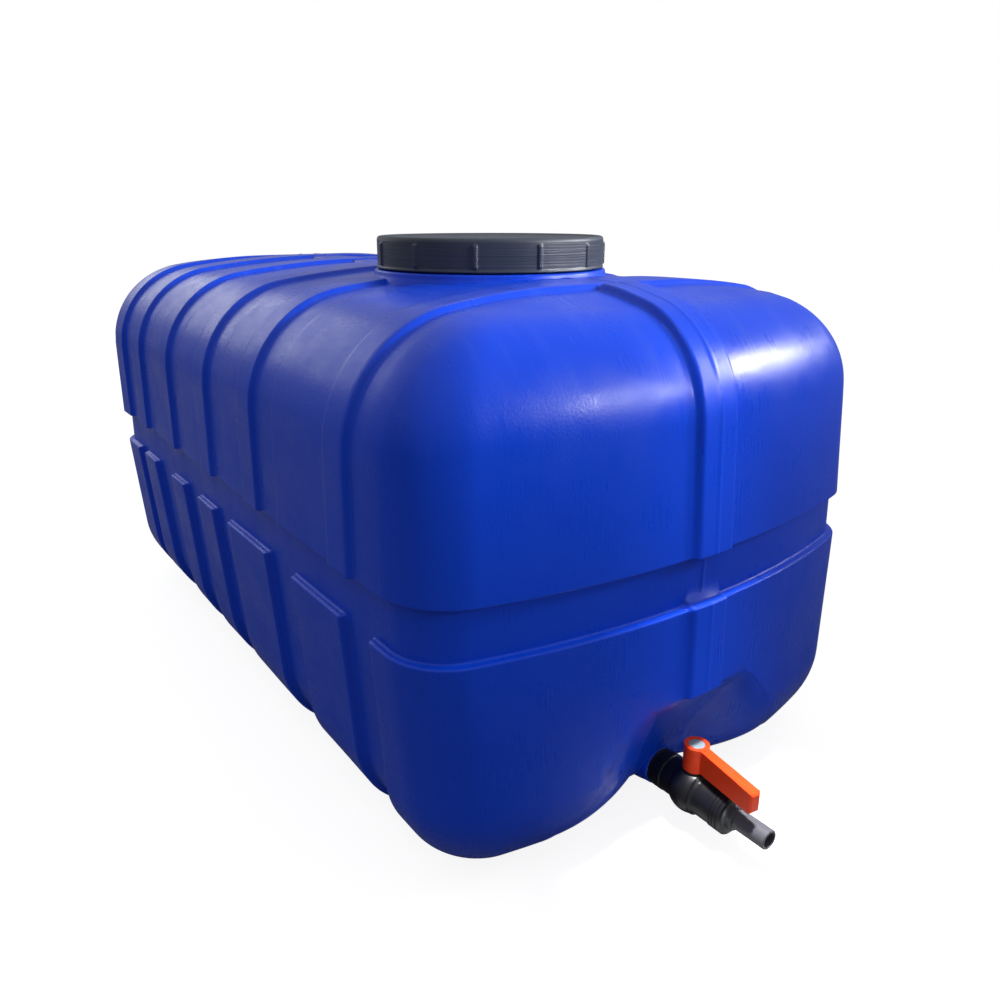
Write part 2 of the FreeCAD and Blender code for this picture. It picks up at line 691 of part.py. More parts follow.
BOSS_BACK = sum_of("boss_face_x", "-boss_depth")
INNER_WASHER_X = "%s - Sizes.washer_thick" % BOSS_BACK
FLANGE_X = "%s - Sizes.flange_thick" % INNER_WASHER_X
NUT_X = sum_of("boss_face_x", "washer_thick")
VALVE_X = "%s + Sizes.nut_thick + Sizes.fit_gap" % NUT_X
TAIL_END_X = "%s + Sizes.inlet_length - Sizes.ball_radius - Sizes.inlet_wall - 1" % VALVE_X
BALL_X = "%s + Sizes.inlet_length" % VALVE_X
CHAMBER_R = sum_of("ball_radius", "chamber_gap")
CHAMBER_X = "%s - Sizes.ball_radius + 1" % BALL_X
SEAT_OUT_END = "%s + Sizes.ball_radius - 1" % BALL_X
CARRIER_X = SEAT_OUT_END
CARRIER_END = "%s + Sizes.carrier_length" % CARRIER_X
SEAL_X = "%s + Sizes.fit_gap" % CARRIER_END
BUSH_X = "%s + Sizes.seal_thick + Sizes.fit_gap" % SEAL_X
OUTLET_FACE = "%s + Sizes.outlet_length" % BALL_X
BUSH_END = "%s + Sizes.bush_collar_length" % OUTLET_FACE
SPIGOT_START = "%s - Sizes.spigot_seat" % BUSH_END
SPIGOT_END = "%s + Sizes.spigot_reach" % BUSH_END


def build_fitting():
    thread = "Sizes.thread_radius"
    flow = "Sizes.flow_radius"
    flange = "Sizes.flange_radius"
    body = turned("bulkhead_fitting", [
        (FLANGE_X, flow), ("%s" % FLANGE_X, "%s - 2" % flange),
        ("%s + 2" % FLANGE_X, flange), (INNER_WASHER_X, flange), (INNER_WASHER_X, thread),
        ("%s - 1" % TAIL_END_X, thread), (TAIL_END_X, "%s - 1" % thread), (TAIL_END_X, flow),
    ], False, z=AXIS)
    keep(body, "bulkhead_fitting")


def build_washers():
    inner = sum_of("thread_radius", "fit_gap")
    body = turned("bulkhead_washer_inner", [
        (INNER_WASHER_X, inner), (INNER_WASHER_X, "Sizes.washer_radius"),
        (BOSS_BACK, "Sizes.washer_radius"), (BOSS_BACK, inner)], False, z=AXIS)
    keep(body, "bulkhead_washer_inner")
    body = turned("bulkhead_washer_outer", [
        ("Sizes.boss_face_x", inner), ("Sizes.boss_face_x", "Sizes.nut_radius - 0.6"),
        (NUT_X, "Sizes.nut_radius - 0.6"), (NUT_X, inner)], False, z=AXIS)
    keep(body, "bulkhead_washer_outer")


def build_nut():
    inner = sum_of("thread_radius", "fit_gap")
    outer = "Sizes.nut_radius"
    end = "%s + Sizes.nut_thick" % NUT_X
    body = turned("bulkhead_nut", [
        (NUT_X, inner), (NUT_X, "%s - 1" % outer), ("%s + 1" % NUT_X, outer),
        ("%s - 1.5" % end, outer), (end, "%s - 1.5" % outer), (end, inner)], False, z=AXIS)
    keep(body, "bulkhead_nut")


# Ball valve

def build_valve_body():
    """Housing with inlet and outlet sockets, ball chamber and stem boss."""
    socket = sum_of("thread_radius", "fit_gap")
    outlet = "Sizes.outlet_radius"
    bulge = ball_shape("housing_bulge", "Sizes.housing_radius", BALL_X, AXIS)
    inlet = rod("inlet_socket", "Sizes.inlet_radius", "Sizes.inlet_length", VALVE_X, AXIS)
    outlet_rod = rod("outlet_socket", "%s - 0.8" % outlet, "Sizes.outlet_length", BALL_X, AXIS)
    waist_rod = rod("housing_waist", "Sizes.housing_radius - 2", "Sizes.ball_radius * 1.1",
                    "%s - Sizes.ball_radius * 0.35" % BALL_X, AXIS)
    boss_low = "%s + Sizes.ball_radius" % AXIS
    boss = rod("stem_boss", "Sizes.hub_radius - 0.4", "Sizes.stem_boss_top - (%s)" % boss_low,
               BALL_X, boss_low, along_x=False)
    rings = []
    for number in range(RIM_RINGS):
        back = "(%s) - Sizes.ring_thick - Sizes.ring_pitch * %d" % (OUTLET_FACE, number)
        rings.append(rod("rim_ring_%d" % (number + 1), outlet, "Sizes.ring_thick", back, AXIS))
    solid = fused("valve_solid", [bulge, inlet, outlet_rod, waist_rod, boss] + rings)
    flat_top = block("over_boss", "Sizes.blank", "Sizes.blank", "Sizes.blank / 2",
                     "%s - Sizes.blank / 2" % BALL_X, "Sizes.stem_boss_top")
    inlet_bore = rod("inlet_bore", socket, "(%s) - (%s) + Sizes.fit_gap" % (TAIL_END_X, VALVE_X),
                     VALVE_X, AXIS)
    flow = rod("flow_bore", "Sizes.flow_radius", "Sizes.inlet_length", VALVE_X, AXIS)
    chamber = rod("chamber", CHAMBER_R, "(%s) - (%s) + Sizes.fit_gap" % (CARRIER_END, CHAMBER_X),
                  CHAMBER_X, AXIS)
    outlet_bore = rod("outlet_bore", socket, "(%s) - (%s)" % (OUTLET_FACE, CARRIER_END),
                      CARRIER_END, AXIS)
    stem_bore = rod("stem_bore", sum_of("stem_radius", "run_gap"), "Sizes.housing_radius",
                    BALL_X, AXIS, along_x=False)
    pocket_z = "%s + Sizes.ball_radius - 1" % AXIS
    pocket = rod("stem_pocket", "Sizes.stem_shoulder + 0.3", "Sizes.shoulder_thick + 1.7",
                 BALL_X, pocket_z, along_x=False)
    stem_bore_long = rod("stem_way", sum_of("stem_radius", "run_gap"), "Sizes.blank",
                         BALL_X, pocket_z, along_x=False)
    hollow = fused("valve_hollow", [inlet_bore, flow, chamber, outlet_bore, stem_bore, pocket,
                                    stem_bore_long, flat_top])
    keep(cut("ValveBody", solid, hollow), "valve_body")


LEVER_TURN = FreeCAD.Rotation(V(0, 0, 1), size("lever_angle"))


def turn_with_lever(obj, x=BALL_X, z="0"):
    """Set a piece that turns with the lever at the stem's axis."""
    obj.Placement = FreeCAD.Placement(V(), LEVER_TURN)
    bind(obj, Placement__Rotation__Angle="Sizes.lever_angle * 1 deg")
    return place(obj, x=x, z=z)


def build_ball():
    """Ball with its bore and the slot for the stem's tang."""
    sphere = ball_shape("ball_outside", "Sizes.ball_radius", "0", "0")
    bore = rod("ball_bore", "Sizes.flow_radius - 1.5", "Sizes.ball_radius * 4",
               "-Sizes.ball_radius * 2", "0")
    slot = block("ball_slot", "Sizes.tang_width + 0.4", "Sizes.ball_radius * 2",
                 "Sizes.tang_depth * 2", "-(Sizes.tang_width + 0.4) / 2",
                 "Sizes.ball_radius - Sizes.tang_depth")
    ball = cut("Ball", sphere, fused("ball_hollow", [bore, slot]))
    keep(turn_with_lever(ball, z=AXIS), "valve_ball")


def build_seats():
    """Two seats, each a ring with a hollow for the ball."""
    for label, start in (("ball_seat_inner", CHAMBER_X),
                         ("ball_seat_outer", "%s - Sizes.seat_thick" % SEAT_OUT_END)):
        ring = rod(label + "_ring", "%s - Sizes.fit_gap" % CHAMBER_R, "Sizes.seat_thick",
                   start, AXIS)
        room = ball_shape(label + "_room", sum_of("ball_radius", "ball_gap"), BALL_X, AXIS)
        way = rod(label + "_way", "Sizes.flow_radius - 1", "Sizes.seat_thick", start, AXIS)
        keep(cut(label + "_cut", ring, fused(label + "_hollow", [room, way])), label)


def build_carrier():
    """Ring that holds the outer seat, with a groove for its seal."""
    outer = "%s - Sizes.fit_gap" % CHAMBER_R
    flow = "Sizes.flow_radius - 1"
    groove = "%s - Sizes.oring_thick" % outer
    first = "%s + Sizes.carrier_length / 2 - Sizes.oring_thick * 0.6" % CARRIER_X
    last = "%s + Sizes.carrier_length / 2 + Sizes.oring_thick * 0.6" % CARRIER_X
    body = turned("seat_carrier", [
        (CARRIER_X, flow), (CARRIER_X, outer), (first, outer), (first, groove),
        (last, groove), (last, outer), (CARRIER_END, outer), (CARRIER_END, flow)],
        False, z=AXIS)
    keep(body, "seat_carrier")
    middle = "%s + Sizes.carrier_length / 2" % CARRIER_X
    ring = ring_shape("CarrierSeal", "%s - Sizes.oring_thick / 2" % outer,
                      "Sizes.oring_thick / 2", middle, AXIS)
    keep(ring, "carrier_oring")


BALL_TOP = "%s + Sizes.ball_radius" % AXIS
SHOULDER_Z = "%s + 0.3" % BALL_TOP
NECK_Z = "%s + Sizes.shoulder_thick" % SHOULDER_Z
HUB_FOOT = sum_of("stem_boss_top", "hub_lift")
GROOVE = "Sizes.stem_seal * 1.1"


def seal_height(number):
    """Height of the middle of a stem seal."""
    return "%s + Sizes.stem_seal * %s" % (NECK_Z, 1.0 + 1.9 * number)


def build_stem():
    """Stem with tang, shoulder, two seal grooves and a square end."""
    radius = "Sizes.stem_radius"
    deep = "Sizes.stem_radius - Sizes.stem_seal"
    profile = [(SHOULDER_Z, "0"), (SHOULDER_Z, "Sizes.stem_shoulder"),
               (NECK_Z, "Sizes.stem_shoulder"), (NECK_Z, radius)]
    for number in range(2):
        middle = seal_height(number)
        first = "%s - %s / 2" % (middle, GROOVE)
        last = "%s + %s / 2" % (middle, GROOVE)
        profile += [(first, radius), (first, deep), (last, deep), (last, radius)]
    profile += [("Sizes.stem_top", radius), ("Sizes.stem_top", "0")]
    shaft = turned("stem_shaft", profile, True)
    tang = block("stem_tang", "Sizes.tang_width", "Sizes.stem_shoulder * 1.6",
                 "Sizes.tang_depth + 1", "-Sizes.tang_width / 2",
                 "%s - Sizes.tang_depth + 0.3" % BALL_TOP)
    around = block("stem_blank", "Sizes.blank / 2", "Sizes.blank / 2", "Sizes.blank",
                   "-Sizes.blank / 4", HUB_FOOT)
    square = block("stem_flats", "Sizes.stem_square", "Sizes.stem_square", "Sizes.blank",
                   "-Sizes.stem_square / 2", HUB_FOOT)
    waste = cut("stem_waste", around, square)
    screw_way = rod("stem_thread", "Sizes.screw_radius + 0.1", "Sizes.screw_length + 1",
                    "0", "Sizes.stem_top - Sizes.screw_length - 1", along_x=False)
    solid = fused("stem_solid", [shaft, tang])
    stem = cut("Stem", solid, fused("stem_hollow", [waste, screw_way]))
    keep(turn_with_lever(stem), "valve_stem")
    for number, label in enumerate(("stem_oring_lower", "stem_oring_upper")):
        ring = ring_shape(label + "_ring", "Sizes.stem_radius - Sizes.stem_seal / 2 + 0.03",
                          "Sizes.stem_seal / 2", BALL_X, seal_height(number), along_x=False)
        keep(ring, label)


def lever_arm():
    """Arm of the lever: it widens and its top falls towards the end."""
    foot = size("lever_foot")
    root_x = size("hub_radius") / 2
    root = size("lever_root_width") / 2
    tip = size("lever_end_width") / 2
    bevel = size("lever_bevel")
    reach = size("lever_reach")
    top = size("hub_top")
    end_top = top - size("lever_droop")

    def frame(x, half, high):
        return Part.makePolygon([V(x, -half, foot), V(x, half, foot), V(x, half, high),
                                 V(x, -half, high), V(x, -half, foot)])

    arm = Part.makeLoft([frame(root_x, root, top), frame(reach, tip, end_top)], True, True)
    end_edges = [e for e in arm.Edges if e.BoundBox.XMin > reach - 0.01]
    return arm.makeChamfer(bevel, end_edges)


def build_handle():
    """Lever with its hub, square socket and room for screw and cap."""
    hub_low = value(HUB_FOOT)
    hub = Part.makeCylinder(size("hub_radius"), size("hub_top") - hub_low, V(0, 0, hub_low))
    solid = hub.fuse(lever_arm()).removeSplitter()
    square = size("stem_square") + size("run_gap")
    head_room = Part.makeCylinder(size("screw_head") + 1, FAR, V(0, 0, size("stem_top")))
    socket = Part.makeBox(square, square, size("stem_top"), V(-square / 2, -square / 2, 0))
    clear = Part.makeCylinder(size("stem_radius") + 0.5, 2 * size("hub_lift"), V(0, 0, hub_low))
    cap_room = Part.makeCylinder(size("cap_radius") + 0.1, FAR,
                                 V(0, 0, size("hub_top") - size("cap_thick")))
    handle = doc.addObject("Part::Feature", "Lever")
    handle.Shape = solid.cut(socket).cut(head_room).cut(cap_room).cut(clear)
    handle.Placement = FreeCAD.Placement(V(value(BALL_X), 0, 0), LEVER_TURN)
    keep(handle, "lever_handle")


def build_screw_and_cap():
    head = rod("screw_top", "Sizes.screw_head", "Sizes.screw_head_thick", "0",
               "Sizes.stem_top", along_x=False)
    shank = rod("screw_shank", "Sizes.screw_radius", "Sizes.screw_length", "0",
                "Sizes.stem_top - Sizes.screw_length", along_x=False)
    drive = block("screw_drive", "1", "Sizes.screw_head * 3", "2", "-0.5",
                  "Sizes.stem_top + Sizes.screw_head_thick - 1")
    screw = cut("Screw", fused("screw_solid", [head, shank]), drive)
    keep(turn_with_lever(screw), "handle_screw")
    low = "Sizes.hub_top - Sizes.cap_thick"
    cap = turned("handle_cap", [
        (low, "0"), (low, "Sizes.cap_radius"), ("Sizes.hub_top - 0.8", "Sizes.cap_radius"),
        ("Sizes.hub_top - 0.2", "Sizes.cap_radius - 0.6"), ("Sizes.hub_top - 0.2", "0")],
        True, x=BALL_X)
    keep(cap, "handle_cap")


def build_outlet():
    """Seal, reducing bush and hose spigot."""
    thread = "Sizes.thread_radius"
    seal = turned("outlet_seal", [
        (SEAL_X, "Sizes.flow_radius - 0.5"), (SEAL_X, "%s - 0.3" % thread),
        ("%s + Sizes.seal_thick" % SEAL_X, "%s - 0.3" % thread),
        ("%s + Sizes.seal_thick" % SEAL_X, "Sizes.flow_radius - 0.5")], False, z=AXIS)
    keep(seal, "outlet_seal")
    collar = "Sizes.bush_collar"
    pipe = sum_of("spigot_radius", "-spigot_step", "fit_gap")
    bush = turned("outlet_bush", [
        (BUSH_X, "Sizes.spigot_bore"), (BUSH_X, "%s - 1" % thread), ("%s + 1" % BUSH_X, thread),
        (OUTLET_FACE, thread), ("%s + 2" % OUTLET_FACE, "(%s) - 1.2" % thread),
        ("%s + 2.6" % OUTLET_FACE, collar), ("%s - 1" % BUSH_END, collar),
        (BUSH_END, "%s - 1" % collar), (BUSH_END, pipe), (SPIGOT_START, pipe),
        (SPIGOT_START, "Sizes.spigot_bore")], False, z=AXIS)
    keep(bush, "outlet_bush")
    root = sum_of("spigot_radius", "-spigot_step")
    spigot = turned("hose_spigot", [
        (SPIGOT_START, "Sizes.spigot_bore"), (SPIGOT_START, root), (BUSH_END, root),
        (BUSH_END, "Sizes.spigot_radius"), ("%s - 1" % SPIGOT_END, "Sizes.spigot_radius"),
        (SPIGOT_END, "Sizes.spigot_radius - 0.7"), (SPIGOT_END, "Sizes.spigot_bore")],
        False, z=AXIS)
    keep(spigot, "hose_spigot")


build_lid()
build_lid_gasket()
build_fitting()
build_washers()
build_nut()
build_valve_body()
build_ball()
build_seats()
build_carrier()
build_stem()
build_handle()
build_screw_and_cap()
build_outlet()
build_tank()
doc.recompute()

for obj in doc.Objects:
    if "Invalid" in obj.State or "Error" in obj.State:
        raise RuntimeError("%s did not build" % obj.Label)
for part in SUBPARTS:
    if part.Shape.isNull() or not part.Shape.isValid():
        raise RuntimeError("%s has no valid shape" % part.Label)
for part in SUBPARTS:
    part.Shape.exportStep("parts/%s.step" % part.Label)
    print(part.Label, len(part.Shape.Solids), round(part.Shape.Volume / 1000.0, 2))
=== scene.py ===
"""Looks of the water tank: moulded body, neck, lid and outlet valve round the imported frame.

Shapes are written in millimetres and become metres where a mesh is made; materials, lamps
and camera are in metres. The frame is the CAD's: +X towards the outlet valve, +Z up, origin
at the middle of the underside.
"""
import math

import bmesh
import bpy
import numpy as np
from mathutils import Matrix, Vector


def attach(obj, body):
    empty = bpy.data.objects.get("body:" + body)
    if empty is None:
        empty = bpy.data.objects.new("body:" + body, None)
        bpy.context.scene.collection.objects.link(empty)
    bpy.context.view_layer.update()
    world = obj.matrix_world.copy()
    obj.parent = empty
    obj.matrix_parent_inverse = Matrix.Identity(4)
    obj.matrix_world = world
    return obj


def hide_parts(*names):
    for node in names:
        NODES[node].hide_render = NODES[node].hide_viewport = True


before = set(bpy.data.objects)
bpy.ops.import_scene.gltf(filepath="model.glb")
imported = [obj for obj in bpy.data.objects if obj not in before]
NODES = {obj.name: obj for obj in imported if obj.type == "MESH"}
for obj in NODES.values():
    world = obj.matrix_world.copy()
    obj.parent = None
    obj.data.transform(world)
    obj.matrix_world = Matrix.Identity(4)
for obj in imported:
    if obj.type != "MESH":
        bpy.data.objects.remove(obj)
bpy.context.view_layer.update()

MM = 0.001

# Moulded body, as in the CAD
HALF_LENGTH = 526.5
HALF_WIDTH = 300.0
WAIST_LOW = 249.5
WAIST_HIGH = 299.0
CROWN = 536.0
SHOULDER_TOP = 524.0
SHOULDER_SIDE = 120.0
SHOULDER_SIDE_RISE = 117.0
SHOULDER_END = 90.0
SHOULDER_END_RISE = 97.0
SIDE_DRAFT = 0.02
END_DRAFT = 0.071
CORNER = 76.0
CORNER_EASE = 0.5
LOW_CORNER = 66.0
LOW_CORNER_EASE = 0.3
LEAST_CORNER = 8.0
CROWN_CORNER = 0.6
CROWN_TAPER = 0.1
END_BOW = 960.0
FOOT_SIDE = 92.0
FOOT_SIDE_RISE = 98.0
FOOT_END_RISE = 102.0
LOW_SIDE_DRAFT = 0.071
LOW_END_DRAFT = 0.033
DOME_TURN = math.radians(82)
WALL = 4.5

# Relief of the body
RIB_EDGES = [-373.0, -275.0, -135.0, 17.0, 168.0, 383.5]
PANEL_STARTS = [None, None, -232.0, -96.0, 62.0, 216.0]
RIB_WIDTH = 47.0
RIB_RISE = 5.0
PANEL_RISE = 2.0
PADS = [(-348.0, -277.0), (-202.0, -137.0), (-83.5, -12.0), (34.5, 164.0), (229.5, 349.0)]
FAR_CAP_EDGE = -376.0
NEAR_CAP_EDGE = 399.0
WAIST_DEPTH = 8.0
FLANK = 4.6
LEDGE = 2.4
LEDGE_LAP = 1.0
SOLE_HALF = 165.0
SOLE_RIM = 2.0
SOLE_RIM_RUN = 8.0
SINK = 0.6
STRIP_HALF = 24.0
STRIP_FLANK = 4.0
STRIP_LAP = 2.0
STRIP_LAP_RUN = 3.0
NEAR_STRIP_RISE = 6.5
FAR_STRIP_RISE = 3.0
STRIP_CAP = 3.5
CHANNEL = (300.0, 440.0, 45.0)
CHANNEL_SLOPE = 16.0
SEAM_RISE = 0.9
SEAM_SPREAD = 1.4
SIDE_LINE_RISE = 0.5
SIDE_LINE_PLACE = 9.0
SIDE_LINE_SPREAD = 1.3
NUB_RISE = 2.2
NUB_ABOVE_WAIST = 9.0
NUB_SPREAD = (3.0, 4.0)
SWAY_RISE = 0.35
SWAY_START = 1.3
SWAY_LENGTHS = (41.0, 83.0, 57.0)

# Outlet recess
RECESS_FACE = 480.0
RECESS_TURN = 72.0
RECESS_TURN_SOFT = 14.0
RECESS_LEAN = 0.6135
RECESS_FOOT = 50.0
RECESS_ROOF = 10.0
RECESS_TOP = 153.0
RECESS_FLAT = 33.0
RECESS_FLAT_HEIGHT = 60.0
RECESS_FLAT_ABOVE = 0.0034
RECESS_FLAT_BELOW = 0.0059
RECESS_HALF = 97.0
RECESS_HALF_HEIGHT = 127.0
RECESS_SPREAD = 0.61
RECESS_ROUND = 0.00097
RECESS_HOLLOW = 1.45
RECESS_LEAST_FLANK = 9.0
RECESS_SOFT = 4.0
RECESS_EDGE = 1.2
RECESS_EDGE_HEIGHT = 95.0
RECESS_EDGE_RUN = 45.0
RECESS_CREST = 0.15
RECESS_CLEAR = 25.0
RECESS_CLEAR_START = 1.5
RECESS_BEYOND_SLOPE = 0.5
RECESS_TOOL_END = 700.0
RECESS_TOOL_ABOVE = 12.0
RECESS_TOP_RUN = 8.0
ACROSS_FLAT = np.linspace(0.0, 1.0, 9)
ACROSS_FLANK = np.linspace(0.0, 1.0, 25)[1:] ** 1.2
BEYOND_FLANK = np.array([6.0, 14.0, 24.0])
BELOW_FLOOR = [-60.0, -20.0]
END_LOWEST = 2.0
END_START = (300.0, 250.0)

# Neck and lid
NECK_X = 169.0
NECK_R = 122.0
NECK_BORE = 113.0
NECK_TOP = 570.2
NECK_POINTS = 192
THREAD_PITCH = 8.0
THREAD_PLACE = 550.0
THREAD_ENDS = (545.0, 563.0)
THREAD_RUN_OUT = 3.0
THREAD_RISE = 2.4
THREAD_SPREAD = 0.14
COLLAR_R = 134.0
COLLAR_TOP = 541.5
LID_R = 130.6
LID_INNER = 126.6
LID_TOP = 577.6
LID_FOOT = 543.1
LID_UNDER = 573.6
LID_CENTRE_R = 0.01
PLATE_DROP = 1.7
GRIP_COUNT = 12
GRIP_TURN = math.radians(17.7)
GRIP_WIDTH = math.radians(1.1)
GRIP_FLANK = (0.55, 0.75)
GRIP_RISE = 2.0
GRIP_FOOT = (545.5, 2.0)
GRIP_HEAD = (572.0, 3.5)

# Outlet
AXIS_Z = 39.0
BOSS_BACK = 440.0
BOSS_FACE = 484.0
BOSS_R = 24.5
BOSS_FACE_R = 21.5
BOSS_POINTS = 72

# Meshes of the body: rays from an inner box to the surface
CAST_REACH = 400.0
CAST_STEPS = 34
SPREAD_STEPS = 6000
BOX_HALF_LENGTH = 430.0
BOX_HALF_WIDTH = 200.0
BOX_FOOT = 100.0
BOX_TOP = 425.0
TOP_ZONE = 450.0
SHARP_ANGLE = math.radians(25)
SHARP_X = 400.0
SHARP_ABOVE = 8.0
SHARP_BESIDE = 20.0


def ramp(value, start, run):
    """Smooth rise from 0 to 1 over a run."""
    share = np.clip((value - start) / run, 0.0, 1.0)
    return share * share * (3.0 - 2.0 * share)


# Body surface

def quarter_inset(height, start, across, up):
    """Inset of a quarter curve at heights above its start."""
    share = np.clip((height - start) / up, 0.0, 1.0)
    return across * (1.0 - np.sqrt(1.0 - share ** 2))


def upper_level(z, out):
    """Half length, half width and corner radius of the upper bulge at heights z."""
    rise_side = SHOULDER_SIDE_RISE + out
    rise_end = SHOULDER_END_RISE + out
    top = SHOULDER_TOP + out
    dome = top - rise_side + rise_side * math.sin(DOME_TURN)
    share = np.clip((z - dome) / (CROWN + out - dome), 0.0, 1.0)
    z = np.minimum(z, dome)
    side = quarter_inset(z, top - rise_side, SHOULDER_SIDE + out, rise_side)
    end = quarter_inset(z, top - rise_end, SHOULDER_END + out, rise_end)
    a = HALF_LENGTH + out - END_DRAFT * (z - WAIST_HIGH) - end
    b = HALF_WIDTH + out - SIDE_DRAFT * (z - WAIST_HIGH) - side
    r = np.maximum(CORNER + out - CORNER_EASE * side, LEAST_CORNER)
    b = b * np.sqrt(1.0 - share)
    return a * (1.0 - share) ** CROWN_TAPER, b, np.minimum(r, CROWN_CORNER * b)


def lower_level(z, out):
    """The same for the lower bulge."""
    side = quarter_inset(-z, -FOOT_SIDE_RISE, FOOT_SIDE + out, FOOT_SIDE_RISE + out)
    end = quarter_inset(-z, -FOOT_END_RISE, FOOT_SIDE + out, FOOT_END_RISE + out)
    below = WAIST_LOW - z
    a = HALF_LENGTH + out + LOW_END_DRAFT * below - end
    b = HALF_WIDTH + out - LOW_SIDE_DRAFT * below - side
    return a, b, np.maximum(LOW_CORNER + out - LOW_CORNER_EASE * side, LEAST_CORNER)


def level(z, out):
    """Half length, half width and corner radius at any height."""
    share = np.clip((z - WAIST_LOW) / (WAIST_HIGH - WAIST_LOW), 0.0, 1.0)
    low = lower_level(np.minimum(z, WAIST_LOW), out)
    high = upper_level(np.maximum(z, WAIST_HIGH), out)
    return [below * (1.0 - share) + above * share for below, above in zip(low, high)]


def body_field(points, out):
    """Below 0 inside the smooth body, and about the distance to it outside."""
    x, y, z = np.abs(points[:, 0]), np.abs(points[:, 1]), points[:, 2]
    a, b, r = level(z, out)
    centre_y = b - r
    centre_x = a - END_BOW + np.sqrt(np.maximum((END_BOW - r) ** 2 - centre_y ** 2, 0.0))
    turn = np.arcsin(np.clip(centre_y / (END_BOW - r), -1.0, 1.0))
    dx, dy = x - centre_x, y - centre_y
    angle = np.arctan2(dy, dx)
    in_corner = (angle > turn) & (angle < math.pi / 2)
    end = np.hypot(x - a + END_BOW, y) - END_BOW
    outline = np.where(in_corner, np.hypot(dx, dy) - r, np.maximum(end, y - b))
    return np.maximum(outline, np.maximum(-out - z, z - CROWN - out))


def cast(starts, ways, out):
    """Where rays from inside leave the smooth body."""
    near = np.zeros(len(starts))
    far = np.full(len(starts), CAST_REACH)
    for _ in range(CAST_STEPS):
        middle = (near + far) / 2
        inside = body_field(starts + ways * middle[:, None], out) < 0
        near = np.where(inside, middle, near)
        far = np.where(inside, far, middle)
    return starts + ways * near[:, None]


def upper_relief(x):
    """Rise of the ribs and panels over the upper bulge."""
    rise = np.zeros_like(x)
    for edge, start in zip(RIB_EDGES, PANEL_STARTS):
        rib_start = edge - RIB_WIDTH
        if start is None:
            rise += RIB_RISE * ramp(x, rib_start - FLANK, FLANK)
        else:
            rise += PANEL_RISE * ramp(x, start - FLANK, FLANK)
            rise += (RIB_RISE - PANEL_RISE) * ramp(x, rib_start, FLANK)
        rise -= RIB_RISE * ramp(x, edge - FLANK, FLANK)
    return rise


def lower_relief(x):
    """Depth of the grooves between the pads of the lower bulge."""
    pad = ramp(x, NEAR_CAP_EDGE, FLANK) + 1.0 - ramp(x, FAR_CAP_EDGE - FLANK, FLANK)
    for first, last in PADS:
        pad += ramp(x, first, FLANK) - ramp(x, last - FLANK, FLANK)
    return WAIST_DEPTH * (pad - 1.0)


def relief(points):
    """How far each point of the smooth body moves out, along its normal."""
    x, side, z = points[:, 0], points[:, 1], points[:, 2]
    y = np.abs(side)
    strip = 1.0 - ramp(y, STRIP_HALF - STRIP_FLANK / 2, STRIP_FLANK)
    near = ramp(x, NEAR_CAP_EDGE, FLANK)
    low = 1.0 - ramp(z - STRIP_CAP * strip * near, WAIST_LOW - LEDGE, LEDGE)
    high = ramp(z, WAIST_HIGH - LEDGE_LAP, LEDGE)
    under = ramp(z, SOLE_RIM, SOLE_RIM_RUN)
    grooves = lower_relief(x) * np.maximum(under, ramp(y, SOLE_HALF - FLANK, FLANK))
    upper = upper_relief(x)
    over_end = NEAR_STRIP_RISE * ramp(x, RIB_EDGES[-1] - STRIP_LAP, STRIP_LAP_RUN)
    over_far = FAR_STRIP_RISE * (1.0 - ramp(x, NECK_X - COLLAR_R - FLANK, FLANK))
    upper = np.maximum(upper, strip * np.maximum(over_end, over_far))
    feet = NEAR_STRIP_RISE * near + FAR_STRIP_RISE * ramp(-x, NEAR_CAP_EDGE, FLANK)
    lower = grooves + feet * strip * ramp(z, FOOT_END_RISE, FLANK)
    start, end, half = CHANNEL
    channel = ramp(x, start, FLANK) * (1.0 - ramp(x, end, FLANK))
    channel *= 1.0 - ramp(y, half, CHANNEL_SLOPE)
    lower = lower - RECESS_ROOF * channel * (1.0 - under)
    seam = SEAM_RISE * np.exp(-(side / SEAM_SPREAD) ** 2) * (z > RECESS_ROOF)
    line = np.exp(-((side - SIDE_LINE_PLACE) / SIDE_LINE_SPREAD) ** 2)
    seam += SIDE_LINE_RISE * line * near * (z > WAIST_HIGH)
    nub_height = (z - WAIST_LOW - NUB_ABOVE_WAIST) / NUB_SPREAD[1]
    seam += NUB_RISE * np.exp(-(side / NUB_SPREAD[0]) ** 2 - nub_height ** 2) * near
    sway = SWAY_RISE * np.sin(x / SWAY_LENGTHS[0] + SWAY_START)
    sway = sway * np.sin(z / SWAY_LENGTHS[2] + y / SWAY_LENGTHS[1])
    return high * upper + low * lower - WAIST_DEPTH * (1.0 - low - high) + seam + sway - SINK


# Meshes

def spread(low, high, features, coarse, fine, reach):
    """Places from low to high, closer together near the features."""
    at = np.linspace(low, high, SPREAD_STEPS)
    closeness = np.full_like(at, 1.0 / coarse)
    for feature in features:
        closeness = np.maximum(closeness, np.exp(-((at - feature) / reach) ** 2) / fine)
    total = np.concatenate([[0.0], np.cumsum((closeness[1:] + closeness[:-1]) / 2 * np.diff(at))])
    return np.interp(np.linspace(0.0, total[-1], int(round(total[-1])) + 1), total, at)


def ray_rows(low, high, features, coarse, fine, reach, fan):
    """Starts and slopes of the rays along one axis: a fan, a parallel middle and a fan."""
    middle = spread(low, high, features, coarse, fine, reach)
    turn = np.tan(np.linspace(0.0, math.pi / 4, fan + 1)[1:])
    starts = np.concatenate([np.full(fan, low), middle, np.full(fan, high)])
    slopes = np.concatenate([-turn[::-1], np.zeros(len(middle)), turn])
    return starts, slopes


